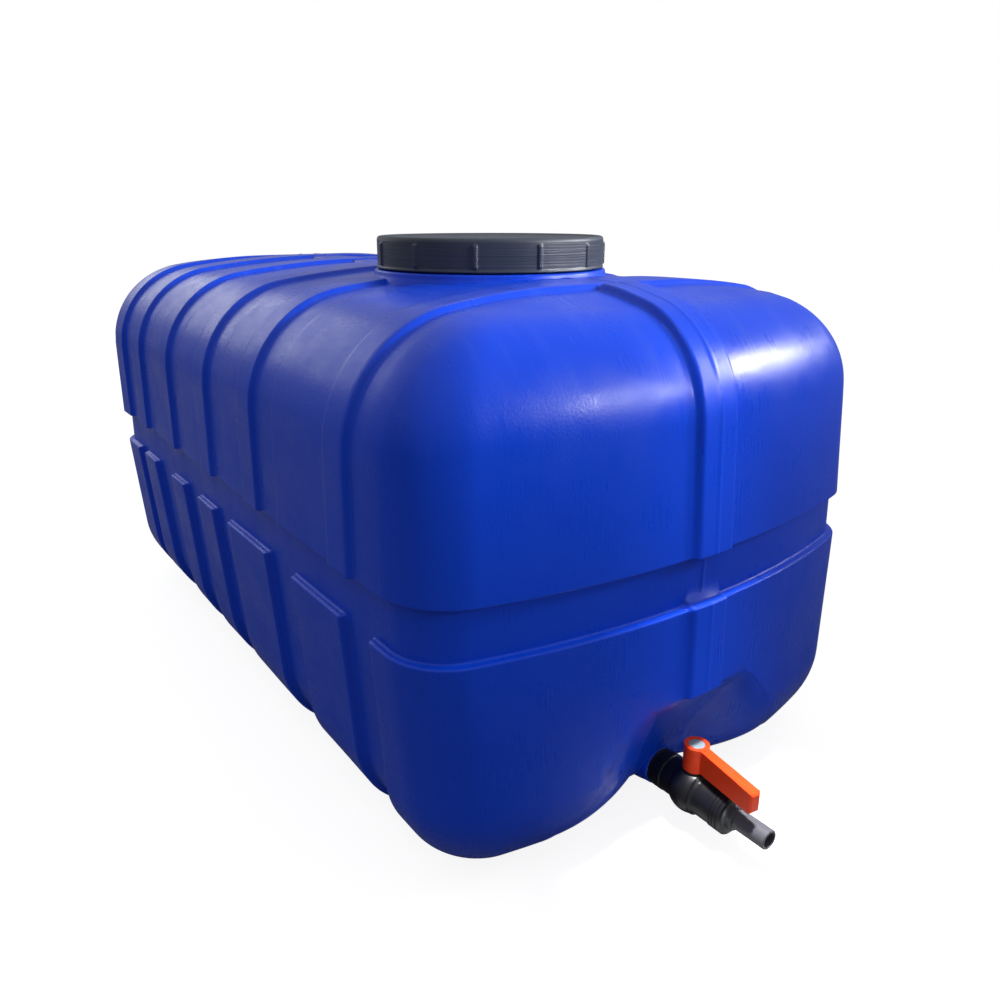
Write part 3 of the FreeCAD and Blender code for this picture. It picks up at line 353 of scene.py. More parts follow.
def lattice(rows):
    """Rays and outward quads of a grid over the six faces of an inner box."""
    counts = [len(starts) for starts, _ in rows]
    shell = np.zeros(counts, bool)
    for axis in range(3):
        for side in (0, -1):
            shell[tuple(side if a == axis else slice(None) for a in range(3))] = True
    places = np.argwhere(shell)
    number = np.zeros(counts, int)
    number[shell] = np.arange(len(places))
    starts, ways = (np.stack([rows[a][part][places[:, a]] for a in range(3)], 1)
                    for part in (0, 1))
    ways /= np.linalg.norm(ways, axis=1)[:, None]
    quads = []
    for grid, flip in ((number[0], True), (number[-1], False), (number[:, 0], False),
                       (number[:, -1], True), (number[:, :, 0], True), (number[:, :, -1], False)):
        quad = np.stack([grid[:-1, :-1], grid[1:, :-1], grid[1:, 1:], grid[:-1, 1:]], -1)
        quad = quad.reshape(-1, 4)
        quads.append(quad[:, ::-1] if flip else quad)
    return starts, ways, np.concatenate(quads)


def make_mesh(name, points, faces):
    """Smooth-shaded mesh from points in millimetres."""
    mesh = bpy.data.meshes.new(name)
    mesh.from_pydata((np.asarray(points) * MM).tolist(), [], [list(f) for f in faces])
    mesh.validate()
    mesh.shade_smooth()
    return mesh


def facing_out(mesh):
    """Turns a closed mesh's faces outwards."""
    work = bmesh.new()
    work.from_mesh(mesh)
    bmesh.ops.recalc_face_normals(work, faces=work.faces)
    work.to_mesh(mesh)
    work.free()
    return mesh


def piece(name, mesh, body, material, replaced=()):
    """Adds an object of the part, riding on a body and taking its finish from a slot."""
    obj = bpy.data.objects.new(name, mesh)
    bpy.context.scene.collection.objects.link(obj)
    mesh.materials.clear()
    mesh.materials.append(material)
    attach(obj, body)
    if replaced:
        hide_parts(*replaced)


def carve(mesh, tool):
    """Mesh with a closed tool cut out of it."""
    obj = bpy.data.objects.new("carved", mesh)
    cutter = bpy.data.objects.new("cutter", tool)
    for made in (obj, cutter):
        bpy.context.scene.collection.objects.link(made)
    modifier = obj.modifiers.new("cut", "BOOLEAN")
    modifier.operation = "DIFFERENCE"
    modifier.solver = "EXACT"
    modifier.object = cutter
    bpy.context.view_layer.update()
    shaped = bpy.data.meshes.new_from_object(
        obj.evaluated_get(bpy.context.evaluated_depsgraph_get()))
    for made in (obj, cutter):
        bpy.data.objects.remove(made)
    return shaped


def ring_faces(rows, count):
    """Quads between closed rings of points; each ring has count points."""
    faces = []
    for row in range(rows - 1):
        for step in range(count):
            after = (step + 1) % count
            faces.append((row * count + step, row * count + after,
                          (row + 1) * count + after, (row + 1) * count + step))
    return faces


def turned(profile, centre, along_x, count):
    """Points and faces of a turned shape, about X or Z; profile holds (radius, along)."""
    angles = np.linspace(0.0, 2 * math.pi, count, endpoint=False)
    rings = []
    for radius, along in profile:
        across = np.stack([radius * np.cos(angles), radius * np.sin(angles)], 1)
        height = np.full((count, 1), along)
        ring = np.hstack([height, across]) if along_x else np.hstack([across, height])
        rings.append(ring + np.asarray(centre))
    return np.concatenate(rings), ring_faces(len(rings), count)


# Outlet recess, as a tool that cuts the body

def recess_floor(z):
    """Place of the recess's flat middle along the tank at a height."""
    soft = RECESS_TURN_SOFT
    lean = RECESS_LEAN * soft * np.log1p(np.exp((z - RECESS_TURN) / soft))
    below = np.clip((RECESS_ROOF + RECESS_FOOT - z) / RECESS_FOOT, 0.0, 1.0)
    return RECESS_FACE + lean - RECESS_FOOT * (1 - np.sqrt(1 - below ** 2))


def recess_flat(z):
    """Half width of the flat middle of the recess at a height."""
    above = np.maximum(z - RECESS_FLAT_HEIGHT, 0.0)
    below = np.maximum(RECESS_FLAT_HEIGHT - z, 0.0)
    return RECESS_FLAT + RECESS_FLAT_ABOVE * above ** 2 + RECESS_FLAT_BELOW * below ** 2


def recess_half(z):
    """Half width of the recess in the end face at a height."""
    above = np.maximum(z - RECESS_HALF_HEIGHT, 0.0)
    return RECESS_HALF + RECESS_SPREAD * (RECESS_HALF_HEIGHT - z) - RECESS_ROUND * above ** 3


def end_place(y, z):
    """Place of the smooth near end along the tank, across one height."""
    height = np.full_like(y, np.clip(z, END_LOWEST, WAIST_LOW))
    starts = np.stack([np.full_like(y, END_START[0]), np.minimum(y, END_START[1]), height], 1)
    return cast(starts, np.tile([1.0, 0.0, 0.0], (len(y), 1)), 0.0)[:, 0]


def recess_row(z, grow):
    """Points of the recess at one height, from one side of the tank to the other."""
    level_z = max(z, 0.0)
    flat = recess_flat(level_z)
    half = max(recess_half(level_z), flat + RECESS_LEAST_FLANK)
    y = np.concatenate([ACROSS_FLAT * flat, flat + ACROSS_FLANK * (half - flat),
                        half + BEYOND_FLANK])
    share = np.clip((y - flat) / (half - flat), 0.0, 1.0)
    end = end_place(y, level_z) - SINK
    roof = end[0] - recess_floor(level_z)
    fade = (1.0 - share) ** RECESS_HOLLOW if roof > 0 else np.ones_like(y)
    depth = roof * fade - RECESS_BEYOND_SLOPE * np.maximum(y - half, 0.0)
    crisp = ramp(level_z, RECESS_EDGE_HEIGHT, RECESS_EDGE_RUN)
    edge = RECESS_SOFT + (RECESS_EDGE - RECESS_SOFT) * crisp
    soft = 0.5 * (depth + np.sqrt(depth ** 2 + edge ** 2)) - RECESS_CREST * edge
    clear_start = RECESS_CLEAR_START * edge
    clear = RECESS_CLEAR * ramp(-depth, clear_start, clear_start)
    x = end - soft + clear - grow
    wide = y + grow * np.minimum(y / flat, 1.0)
    right = np.stack([x, wide, np.full_like(y, z + (grow if z > 0 else 0.0))], 1)
    return np.concatenate([right[:0:-1] * [1, -1, 1], right])


def recess_tool(grow):
    """Closed mesh that fills the outlet recess: a scoop that fades into the end face."""
    above_floor = spread(0.0, RECESS_TOP + RECESS_TOOL_ABOVE,
                         [RECESS_ROOF, RECESS_TOP - RECESS_TOP_RUN],
                         coarse=4.0, fine=1.0, reach=14.0)
    grid = np.array([recess_row(z, grow) for z in np.concatenate([BELOW_FLOOR, above_floor])])
    count, columns = grid.shape[:2]
    faces = []
    for row in range(count - 1):
        for column in range(columns - 1):
            first = row * columns + column
            faces.append((first, first + columns, first + columns + 1, first + 1))
    loop = [(r, 0) for r in range(count)] + [(count - 1, c) for c in range(1, columns)]
    loop += [(r, columns - 1) for r in range(count - 2, -1, -1)]
    loop += [(0, c) for c in range(columns - 2, 0, -1)]
    ids = [r * columns + c for r, c in loop]
    points = grid.reshape(-1, 3)
    outer_loop = points[ids] * [0, 1, 1] + [RECESS_TOOL_END, 0.0, 0.0]
    first = len(points)
    for i in range(len(ids)):
        j = (i + 1) % len(ids)
        faces.append((ids[i], first + i, first + j, ids[j]))
    faces.append([first + i for i in range(len(ids))][::-1])
    return facing_out(make_mesh("recess_tool", np.concatenate([points, outer_loop]), faces))


# Body's surface with its recess and neck hole

def neck_hole(points, faces, radius):
    """Drops the faces inside the neck and brings the hole's edge to a radius."""
    offset = points[:, :2] - np.array([NECK_X, 0.0])
    away = np.hypot(offset[:, 0], offset[:, 1])
    on_top = points[:, 2] > TOP_ZONE
    inside = on_top & (away < radius)
    kept = [f for f in faces if not any(inside[i] for i in f)]
    dropped = {i for f in faces for i in f if any(inside[j] for j in f)}
    edge = np.array(sorted(i for i in dropped if not inside[i]), int)
    points[edge, :2] = np.array([NECK_X, 0.0]) + offset[edge] * (radius / away[edge])[:, None]
    return points, kept


def body_mesh(name, rows, out, hole, tool):
    """Body's surface, outside or inside, with relief, recess and neck hole."""
    starts, ways, quads = lattice(rows)
    smooth = cast(starts, ways, out)
    mesh = make_mesh(name, smooth, quads)
    normals = np.empty(len(smooth) * 3)
    mesh.vertex_normals.foreach_get("vector", normals)
    moved = smooth + normals.reshape(-1, 3) * relief(smooth)[:, None]
    mesh.vertices.foreach_set("co", (moved * MM).ravel())
    mesh.update()
    mesh = carve(mesh, tool)
    points = np.empty(len(mesh.vertices) * 3)
    mesh.vertices.foreach_get("co", points)
    faces = [tuple(p.vertices) for p in mesh.polygons]
    points, faces = neck_hole(points.reshape(-1, 3) / MM, faces, hole)
    mesh = make_mesh(name, points, faces)
    keep_recess_sharp(mesh, points)
    return mesh


def keep_recess_sharp(mesh, points):
    """Marks the steep edges as sharp, but only round the recess."""
    mesh.set_sharp_from_angle(angle=SHARP_ANGLE)
    ends = np.array([tuple(e.vertices) for e in mesh.edges])
    middle = points[ends].mean(1)
    sharp = np.empty(len(ends), bool)
    mesh.attributes["sharp_edge"].data.foreach_get("value", sharp)
    sharp &= (middle[:, 0] > SHARP_X) & (middle[:, 2] < RECESS_TOP + SHARP_ABOVE)
    sharp &= np.abs(middle[:, 1]) < RECESS_HALF + SHARP_BESIDE
    mesh.attributes["sharp_edge"].data.foreach_set("value", sharp)


def rib_features():
    """Places along the tank where a flank rises or falls, for the rays to stand closer."""
    places = []
    for edge, start in zip(RIB_EDGES, PANEL_STARTS):
        places += [edge - FLANK / 2, edge - RIB_WIDTH + FLANK / 2 * (-1 if start is None else 1)]
        if start is not None:
            places.append(start - FLANK / 2)
    for first, last in PADS:
        places += [first + FLANK / 2, last - FLANK / 2]
    return places + [FAR_CAP_EDGE - FLANK / 2, NEAR_CAP_EDGE + FLANK / 2, CHANNEL[0]]


# Materials

# Colour sockets of a Mix node, which shares its names with those of other kinds
MIX_COLOUR_A, MIX_COLOUR_B, MIX_COLOUR_RESULT = 6, 7, 2

TANK_DARK = (0.001, 0.042, 0.55)
TANK_LIGHT = (0.001, 0.058, 0.69)
# Paler blue painted along the shoulders: partly wear, partly painted sheen
TANK_SHEEN_AND_WEAR = (0.10, 0.18, 0.66)
LID_DARK = (0.024, 0.030, 0.046)
LID_LIGHT = (0.044, 0.056, 0.084)
# Heights of the painted sheen and wear: the shoulder band, and where it fades towards the crown
SHOULDER_SHEEN_AND_WEAR = (0.40, 0.50)
CROWN_SHEEN_AND_WEAR = (0.525, 0.56)
LID_PLATE = (0.5735, 0.5755)
GRAIN_SCALE = 900.0
GRAIN_DEPTH = 0.00006
GRAIN_EDGE = 0.0006


def set_spans(node, span, to):
    """Sets what a Map Range node takes a value from and to."""
    for key, number in zip(("From Min", "From Max", "To Min", "To Max"), (*span, *to)):
        node.inputs[key].default_value = number


class Paint:
    """Node material with a Principled shader, built step by step."""

    def __init__(self, name, **values):
        self.material = bpy.data.materials.new(name)
        self.material.use_nodes = True
        self.tree = self.material.node_tree
        self.shader = self.tree.nodes["Principled BSDF"]
        for socket, value in values.items():
            self.shader.inputs[socket.replace("_", " ")].default_value = value
        self.place = self.node("ShaderNodeTexCoord").outputs["Object"]

    def node(self, kind, **settings):
        """New node of a kind, with its settings."""
        made = self.tree.nodes.new(kind)
        for key, value in settings.items():
            setattr(made, key, value)
        return made

    def link(self, source, target):
        """Joins an output to an input."""
        self.tree.links.new(source, target)

    def stretched(self, scale):
        """Object coordinates scaled by axis, in 1/m."""
        mapping = self.node("ShaderNodeMapping")
        mapping.inputs["Scale"].default_value = scale
        self.link(self.place, mapping.inputs["Vector"])
        return mapping.outputs["Vector"]

    def noise(self, scale, detail=3.0, roughness=0.5):
        """Noise from 0 to 1; scale is one number or one for each axis, in 1/m."""
        texture = self.node("ShaderNodeTexNoise")
        texture.inputs["Detail"].default_value = detail
        texture.inputs["Roughness"].default_value = roughness
        if isinstance(scale, tuple):
            texture.inputs["Scale"].default_value = 1.0
            self.link(self.stretched(scale), texture.inputs["Vector"])
        else:
            texture.inputs["Scale"].default_value = scale
            self.link(self.place, texture.inputs["Vector"])
        return texture.outputs["Fac"]

    def remap(self, value, span, to):
        """Value taken smoothly from one span to another."""
        made = self.node("ShaderNodeMapRange", interpolation_type="SMOOTHSTEP")
        set_spans(made, span, to)
        self.link(value, made.inputs["Value"])
        return made.outputs["Result"]

    def math(self, operation, first, second):
        """Result of an operation on two numbers or outputs."""
        made = self.node("ShaderNodeMath", operation=operation)
        for socket, value in zip(made.inputs, (first, second)):
            if isinstance(value, (int, float)):
                socket.default_value = value
            else:
                self.link(value, socket)
        return made.outputs["Value"]

    def axis(self, name):
        """One object coordinate, in metres."""
        split = self.node("ShaderNodeSeparateXYZ")
        self.link(self.place, split.inputs["Vector"])
        return split.outputs[name]

    def mix(self, factor, first, second):
        """Colour mix; each side is a colour or an output."""
        made = self.node("ShaderNodeMix", data_type="RGBA")
        self.link(factor, made.inputs["Factor"])
        for side, value in ((MIX_COLOUR_A, first), (MIX_COLOUR_B, second)):
            if isinstance(value, tuple):
                made.inputs[side].default_value = value + (1.0,)
            else:
                self.link(value, made.inputs[side])
        return made.outputs[MIX_COLOUR_RESULT]

    def colour(self, output):
        """Takes the base colour from an output."""
        self.link(output, self.shader.inputs["Base Color"])

    def rough(self, output):
        """Takes the roughness from an output."""
        self.link(output, self.shader.inputs["Roughness"])

    def bump(self, height, distance, strength, edge):
        """Surface relief of a height and softened edges; distance and edge are in metres."""
        made = self.node("ShaderNodeBump")
        made.inputs["Distance"].default_value = distance
        made.inputs["Strength"].default_value = strength
        self.link(height, made.inputs["Height"])
        bevel = self.node("ShaderNodeBevel", samples=4)
        bevel.inputs["Radius"].default_value = edge
        self.link(bevel.outputs["Normal"], made.inputs["Normal"])
        self.link(made.outputs["Normal"], self.shader.inputs["Normal"])


def tank_paint():
    """Blue moulded plastic, with a paler blue painted along the shoulders, partly for wear and
    partly as painted sheen.
    """
    paint = Paint("tank_plastic", Specular_IOR_Level=0.25)
    cloud = paint.noise(5.0, detail=4.0)
    streak = paint.noise((9.0, 60.0, 14.0), detail=5.0, roughness=0.65)
    height = paint.axis("Z")
    # Paler blue set by height along the shoulders: partly wear, partly painted sheen of the light
    # on them; the same mask also roughens them
    shoulder = paint.math("MULTIPLY", paint.remap(height, SHOULDER_SHEEN_AND_WEAR, (0.0, 1.0)),
                          paint.remap(height, CROWN_SHEEN_AND_WEAR, (1.0, 0.35)))
    sheen_and_wear = paint.math("MULTIPLY", shoulder, paint.remap(streak, (0.5, 0.72), (0.0, 0.1)))
    paint.colour(paint.mix(sheen_and_wear, paint.mix(cloud, TANK_DARK, TANK_LIGHT), TANK_SHEEN_AND_WEAR))
    patch = paint.noise(16.0, detail=6.0, roughness=0.6)
    rough = paint.remap(patch, (0.3, 0.7), (0.22, 0.36))
    brush = paint.noise((30.0, 420.0, 26.0))
    rough = paint.math("ADD", rough, paint.remap(brush, (0.2, 0.8), (0.0, 0.06)))
    paint.rough(paint.math("ADD", rough, paint.math("MULTIPLY", sheen_and_wear, 0.2)))
    grain = paint.noise(380.0, roughness=0.6)
    grain = paint.math("ADD", grain, paint.math("MULTIPLY", brush, 0.2))
    paint.bump(grain, distance=0.00028, strength=0.5, edge=0.0015)
    return paint.material


def moulded_paint(name, dark, light, rough):
    """Satin moulded plastic with slight colour clouds and fine grain."""
    paint = Paint(name, Specular_IOR_Level=0.35)
    paint.colour(paint.mix(paint.noise(40.0, detail=4.0), dark, light))
    patch = paint.noise(90.0, detail=5.0, roughness=0.6)
    paint.rough(paint.remap(patch, (0.3, 0.7), (rough - 0.06, rough + 0.08)))
    grain = paint.noise(GRAIN_SCALE, detail=2.0)
    paint.bump(grain, distance=GRAIN_DEPTH, strength=0.5, edge=GRAIN_EDGE)
    return paint.material


def lid_paint():
    """Dark plastic with fine lines round the skirt and a duller top."""
    paint = Paint("lid_plastic", Specular_IOR_Level=0.42)
    paint.colour(paint.mix(paint.noise(30.0, detail=4.0), LID_DARK, LID_LIGHT))
    lines = paint.noise((4.0, 4.0, 620.0), detail=2.0)
    dull_top = paint.remap(paint.axis("Z"), LID_PLATE, (0.0, 0.26))
    paint.rough(paint.math("ADD", paint.remap(lines, (0.3, 0.7), (0.30, 0.46)), dull_top))
    paint.bump(lines, distance=0.0005, strength=0.7, edge=0.0008)
    return paint.material


TANK = tank_paint()
LID = lid_paint()
FITTING = moulded_paint("fitting_plastic", (0.005, 0.005, 0.007), (0.013, 0.013, 0.016), 0.34)
RUBBER = moulded_paint("seal_rubber", (0.010, 0.010, 0.010), (0.022, 0.021, 0.020), 0.75)
BALL = moulded_paint("ball_plastic", (0.02, 0.02, 0.022), (0.04, 0.04, 0.045), 0.2)
SEAT = moulded_paint("seat_plastic", (0.72, 0.72, 0.69), (0.82, 0.82, 0.80), 0.3)
LEVER = moulded_paint("lever_plastic", (0.82, 0.045, 0.004), (0.90, 0.060, 0.006), 0.34)
SCREW = moulded_paint("screw_steel", (0.45, 0.45, 0.44), (0.6, 0.6, 0.6), 0.3)
CAP = moulded_paint("cap_plastic", (0.20, 0.24, 0.28), (0.28, 0.33, 0.38), 0.45)
BUSH = moulded_paint("bush_plastic", (0.040, 0.043, 0.050), (0.062, 0.066, 0.075), 0.40)
PIPE = moulded_paint("pipe_plastic", (0.065, 0.065, 0.078), (0.095, 0.095, 0.11), 0.40)

FINISHES = {
    "bulkhead_fitting": FITTING, "bulkhead_washer_inner": RUBBER,
    "bulkhead_washer_outer": RUBBER, "bulkhead_nut": FITTING, "valve_body": FITTING,
    "valve_ball": BALL, "ball_seat_inner": SEAT, "ball_seat_outer": SEAT,
    "seat_carrier": FITTING, "carrier_oring": RUBBER, "valve_stem": BALL,
    "stem_oring_lower": RUBBER, "stem_oring_upper": RUBBER, "lever_handle": LEVER,
    "handle_screw": SCREW, "handle_cap": CAP, "outlet_seal": RUBBER, "outlet_bush": BUSH,
    "hose_spigot": PIPE, "lid_gasket": RUBBER,
}
for name, finish in FINISHES.items():
    NODES[name].data.materials.clear()
    NODES[name].data.materials.append(finish)

# Body, outside and inside

RIB_FEATURES = rib_features()
STRIP_FEATURES = [0.0, -STRIP_HALF, STRIP_HALF, -SOLE_HALF, SOLE_HALF]
LEDGE_FEATURES = [WAIST_LOW - 1.2, WAIST_HIGH + 0.2]
INNER_LEDGE_FEATURES = [WAIST_LOW - 2.0, WAIST_HIGH + 1.0]
OUTER_HOLE_R = 118.0
INNER_HOLE_R = 116.0

fine_rows = [
    ray_rows(-BOX_HALF_LENGTH, BOX_HALF_LENGTH, RIB_FEATURES,
             coarse=18.0, fine=1.7, reach=5.2, fan=14),
    ray_rows(-BOX_HALF_WIDTH, BOX_HALF_WIDTH, STRIP_FEATURES,
             coarse=17.0, fine=1.4, reach=4.5, fan=15),
    ray_rows(BOX_FOOT, BOX_TOP, LEDGE_FEATURES,
             coarse=16.0, fine=0.85, reach=4.0, fan=15),
]
inner_rows = [
    ray_rows(-BOX_HALF_LENGTH, BOX_HALF_LENGTH, RIB_FEATURES,
             coarse=24.0, fine=4.5, reach=6.5, fan=8),
    ray_rows(-BOX_HALF_WIDTH, BOX_HALF_WIDTH, [],
             coarse=24.0, fine=5.0, reach=4.0, fan=9),
    ray_rows(BOX_FOOT, BOX_TOP, INNER_LEDGE_FEATURES,
             coarse=24.0, fine=2.5, reach=6.0, fan=9),
]
outside = body_mesh("tank_body", fine_rows, 0.0, OUTER_HOLE_R, recess_tool(0.0))
piece("tank_body", outside, "tank", TANK, ["tank_shell"])
inside = body_mesh("tank_inner_wall", inner_rows, -WALL, INNER_HOLE_R, recess_tool(WALL))
inside.flip_normals()
piece("tank_inner_wall", inside, "tank", TANK)

boss_profile = [(14.0, BOSS_BACK), (BOSS_R, BOSS_BACK), (BOSS_R, 462.0), (23.5, 470.0),
                (BOSS_FACE_R + 0.4, 478.0), (BOSS_FACE_R, BOSS_FACE - 1.0),
                (BOSS_FACE_R - 1.0, BOSS_FACE), (17.0, BOSS_FACE)]
points, faces = turned(boss_profile, (0.0, 0.0, AXIS_Z), True, BOSS_POINTS)
piece("outlet_boss", facing_out(make_mesh("outlet_boss", points, faces)), "tank",
      TANK)


def neck_mesh():
    """Neck with collar, rim and a raised helical thread."""
    profile = [(141.0, 520.0), (137.5, 530.0), (135.2, 535.0), (COLLAR_R, 538.0),
               (COLLAR_R, 539.6), (133.2, 541.0), (131.6, COLLAR_TOP), (124.5, COLLAR_TOP),
               (122.6, 542.1), (NECK_R, 543.6)]
    profile += [(NECK_R, z) for z in np.arange(544.4, 568.0, 0.8)]
    profile += [(NECK_R, 568.7), (121.5, 569.8), (120.5, NECK_TOP), (114.5, NECK_TOP),
                (113.4, 569.6), (NECK_BORE, 568.4), (NECK_BORE, 556.0), (NECK_BORE, 540.0),
                (NECK_BORE + 0.5, 535.0), (115.5, 531.5), (119.0, 530.5), (124.0, 530.5)]
    points, faces = turned(profile, (NECK_X, 0.0, 0.0), False, NECK_POINTS)
    angle = np.arctan2(points[:, 1], points[:, 0] - NECK_X)
    away = np.hypot(points[:, 1], points[:, 0] - NECK_X)
    height = points[:, 2]
    phase = np.mod((height - THREAD_PLACE) / THREAD_PITCH - angle / (2 * math.pi), 1.0)
    ridge = np.exp(-((phase - 0.5) / THREAD_SPREAD) ** 2)
    window = ramp(height, THREAD_ENDS[0], THREAD_RUN_OUT)
    window = window * (1 - ramp(height, THREAD_ENDS[1], THREAD_RUN_OUT))
    lift = THREAD_RISE * ridge * window * (np.abs(away - NECK_R) < 1.0)
    points[:, 0] += np.cos(angle) * lift
    points[:, 1] += np.sin(angle) * lift
    return facing_out(make_mesh("tank_neck", points, faces))


piece("tank_neck", neck_mesh(), "tank", TANK)


def lid_mesh():
    """Lid with grip ribs, turned rim and plate; its thread is left out."""
    plate = LID_TOP - PLATE_DROP
    top = [(LID_CENTRE_R, plate), (60.0, plate), (108.0, plate), (116.0, plate + 0.2),
           (118.5, plate + 0.5), (120.0, plate + 1.2), (121.5, LID_TOP - 0.1),
           (126.0, LID_TOP), (128.2, LID_TOP - 0.4), (129.7, LID_TOP - 1.5),
           (130.4, LID_TOP - 3.0), (LID_R, LID_TOP - 4.6), (LID_R, LID_TOP - 6.0)]
    skirt = [(LID_R, z) for z in np.linspace(LID_TOP - 7.6, 549.0, 15)] + [(LID_R, 547.4)]
    hem = [(LID_R, 546.0), (131.0, 545.2), (131.4, 544.6), (131.4, 543.4), (131.0, LID_FOOT),
           (127.2, LID_FOOT), (LID_INNER, 543.4)]
    under = [(LID_INNER, z) for z in np.linspace(546.0, 570.0, 13)]
    under += [(LID_INNER, 572.6), (126.0, LID_UNDER), (60.0, LID_UNDER),
              (LID_CENTRE_R, LID_UNDER)]
    profile = top + skirt + hem + under
    ribs = GRIP_TURN + np.arange(GRIP_COUNT) * 2 * math.pi / GRIP_COUNT
    near = np.radians([-2.4, -1.7, -1.3, -1.0, -0.7, -0.35, 0.0, 0.35, 0.7, 1.0, 1.3, 1.7, 2.4])
    between = np.radians([5.0, 8.0, 11.5, 15.0, 18.5, 22.0, 25.0])
    angles = np.sort(np.concatenate([r + np.concatenate([near, between]) for r in ribs]))
    apart = np.min(np.abs((angles[:, None] - ribs[None] + math.pi) % (2 * math.pi) - math.pi), 1)
    bump = 1.0 - ramp(apart, GRIP_WIDTH * GRIP_FLANK[0], GRIP_WIDTH * GRIP_FLANK[1])
    rings = []
    for number, (radius, z) in enumerate(profile):
        on_skirt = len(top) <= number < len(top) + len(skirt)
        window = ramp(z, *GRIP_FOOT) * (1 - ramp(z, *GRIP_HEAD)) if on_skirt else 0.0
        across = radius + GRIP_RISE * bump * window
        rings.append(np.stack([NECK_X + across * np.cos(angles), across * np.sin(angles),
                               np.full_like(angles, z)], 1))
    return facing_out(make_mesh("screw_lid", np.concatenate(rings),
                                ring_faces(len(profile), len(angles))))


piece("screw_lid", lid_mesh(), "lid", LID, ["lid"])

# Floor, light and camera

FLOOR_DARK = (0.27, 0.27, 0.27)
FLOOR_LIGHT = (0.29, 0.29, 0.29)
FLOOR_GLOW = 0.88
FLOOR_REACH = 9000
FLOOR_Z = -0.2


def floor_paint():
    """Pale floor that shows white to the camera but keeps the shadow."""
    paint = Paint("floor", Roughness=0.9, Specular_IOR_Level=0.0)
    paint.colour(paint.mix(paint.noise(3.0), FLOOR_DARK, FLOOR_LIGHT))
    glow = paint.node("ShaderNodeEmission")
    glow.inputs["Strength"].default_value = FLOOR_GLOW
    add = paint.node("ShaderNodeAddShader")
    mix = paint.node("ShaderNodeMixShader")
    path = paint.node("ShaderNodeLightPath")
    output = paint.tree.nodes["Material Output"]
    paint.link(paint.shader.outputs["BSDF"], add.inputs[0])
    paint.link(glow.outputs["Emission"], add.inputs[1])
    paint.link(path.outputs["Is Camera Ray"], mix.inputs[0])
    paint.link(paint.shader.outputs["BSDF"], mix.inputs[1])
    paint.link(add.outputs["Shader"], mix.inputs[2])
    paint.link(mix.outputs["Shader"], output.inputs["Surface"])
    return paint.material


corners = [(-1, -1), (1, -1), (1, 1), (-1, 1)]
floor_mesh = make_mesh("floor", [(FLOOR_REACH * x, FLOOR_REACH * y, FLOOR_Z) for x, y in corners],
                       [(0, 1, 2, 3)])
floor = bpy.data.objects.new("floor", floor_mesh)
bpy.context.scene.collection.objects.link(floor)
floor.data.materials.append(floor_paint())

# Name, place, target, width, height (all in metres), power in W and cone in degrees
LAMPS = [
    ("key", (2.3, 1.15, 1.45), (0.5, -0.12, 0.93), 0.8, 0.6, 4.2, 24.0),
    ("right", (1.4, 2.3, 1.5), (0.45, 0.15, 0.82), 0.7, 0.7, 2.8, 26.0),
    ("outlet", (0.66, -0.03, 1.30), (0.61, 0.0, 0.07), 0.12, 0.12, 0.40, 14.0),
    ("behind", (-3.2, -0.6, 1.7), (0.0, 0.0, 0.4), 2.0, 1.2, 13.0, 180.0),
]


def soft_lamp(name, place, target, width, height, power, cone):
    """Rectangular lamp at a place, turned to a target."""
    lamp = bpy.data.lights.new(name, "AREA")
    lamp.shape = "RECTANGLE"
    lamp.size, lamp.size_y, lamp.energy = width, height, power
    lamp.spread = math.radians(cone)
    obj = bpy.data.objects.new(name, lamp)
    bpy.context.scene.collection.objects.link(obj)
    obj.location = place
    way = Vector(target) - Vector(place)
    obj.rotation_euler = way.to_track_quat("-Z", "Y").to_euler()


for lamp in LAMPS:
    soft_lamp(*lamp)

SKY_UP = ((0.0, 0.8), (0.12, 0.7))
SKY_BACK = ((-1.0, -0.2), (0.16, 0.0))


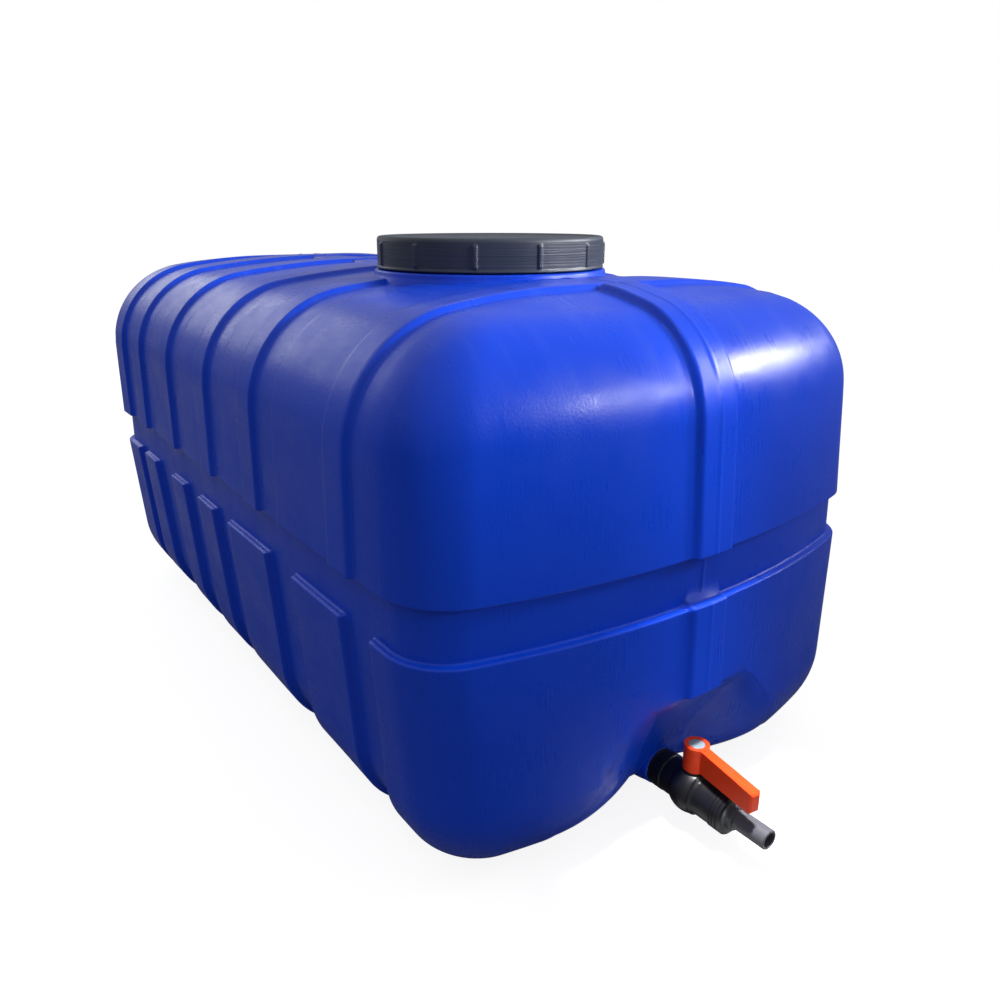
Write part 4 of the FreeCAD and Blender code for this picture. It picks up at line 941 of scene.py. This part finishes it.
def surroundings():
    """World that is white to the camera; its light grows with height and towards the far end."""
    world = bpy.data.worlds.new("surroundings")
    bpy.context.scene.world = world
    world.use_nodes = True
    nodes, link = world.node_tree.nodes, world.node_tree.links.new
    background = nodes["Background"]
    background.inputs["Color"].default_value = (1.0, 1.0, 1.0, 1.0)
    path = nodes.new("ShaderNodeLightPath").outputs
    way = nodes.new("ShaderNodeSeparateXYZ")
    link(nodes.new("ShaderNodeTexCoord").outputs["Generated"], way.inputs["Vector"])

    def share(axis, spans):
        """Light that changes along one axis of the view."""
        made = nodes.new("ShaderNodeMapRange")
        set_spans(made, *spans)
        link(way.outputs[axis], made.inputs["Value"])
        return made.outputs["Result"]

    def combined(operation, first, second):
        """Result of an operation on two outputs."""
        made = nodes.new("ShaderNodeMath")
        made.operation = operation
        link(first, made.inputs[0])
        link(second, made.inputs[1])
        return made.outputs["Value"]

    light = combined("ADD", share("Z", SKY_UP), share("X", SKY_BACK))
    seen = combined("MAXIMUM", path["Is Camera Ray"], path["Is Transmission Ray"])
    link(combined("MAXIMUM", seen, light), background.inputs["Strength"])


surroundings()

CAMERA_PLACE = Vector((0.9861, -0.5848, 0.6003))
CAMERA_YAW = math.radians(54.37)
CAMERA_PITCH = math.radians(18.94)
CAMERA_SENSOR = 36.0
CAMERA_LENS = 29.74
CAMERA_SHIFT = (0.0094, -0.0021)
CAMERA_CLIP = 0.01

camera = bpy.data.objects.new("camera", bpy.data.cameras.new("camera"))
bpy.context.scene.collection.objects.link(camera)
forward = Vector((-math.sin(CAMERA_YAW) * math.cos(CAMERA_PITCH),
                  math.cos(CAMERA_YAW) * math.cos(CAMERA_PITCH), -math.sin(CAMERA_PITCH)))
right = Vector((math.cos(CAMERA_YAW), math.sin(CAMERA_YAW), 0.0))
up = right.cross(forward)
camera.matrix_world = Matrix.Translation(CAMERA_PLACE) @ Matrix(
    (right, up, -forward)).transposed().to_4x4()
camera.data.sensor_width = CAMERA_SENSOR
camera.data.lens = CAMERA_LENS
camera.data.shift_x, camera.data.shift_y = CAMERA_SHIFT
camera.data.clip_start = CAMERA_CLIP
bpy.context.scene.camera = camera
bpy.context.scene.view_settings.view_transform = "Standard"
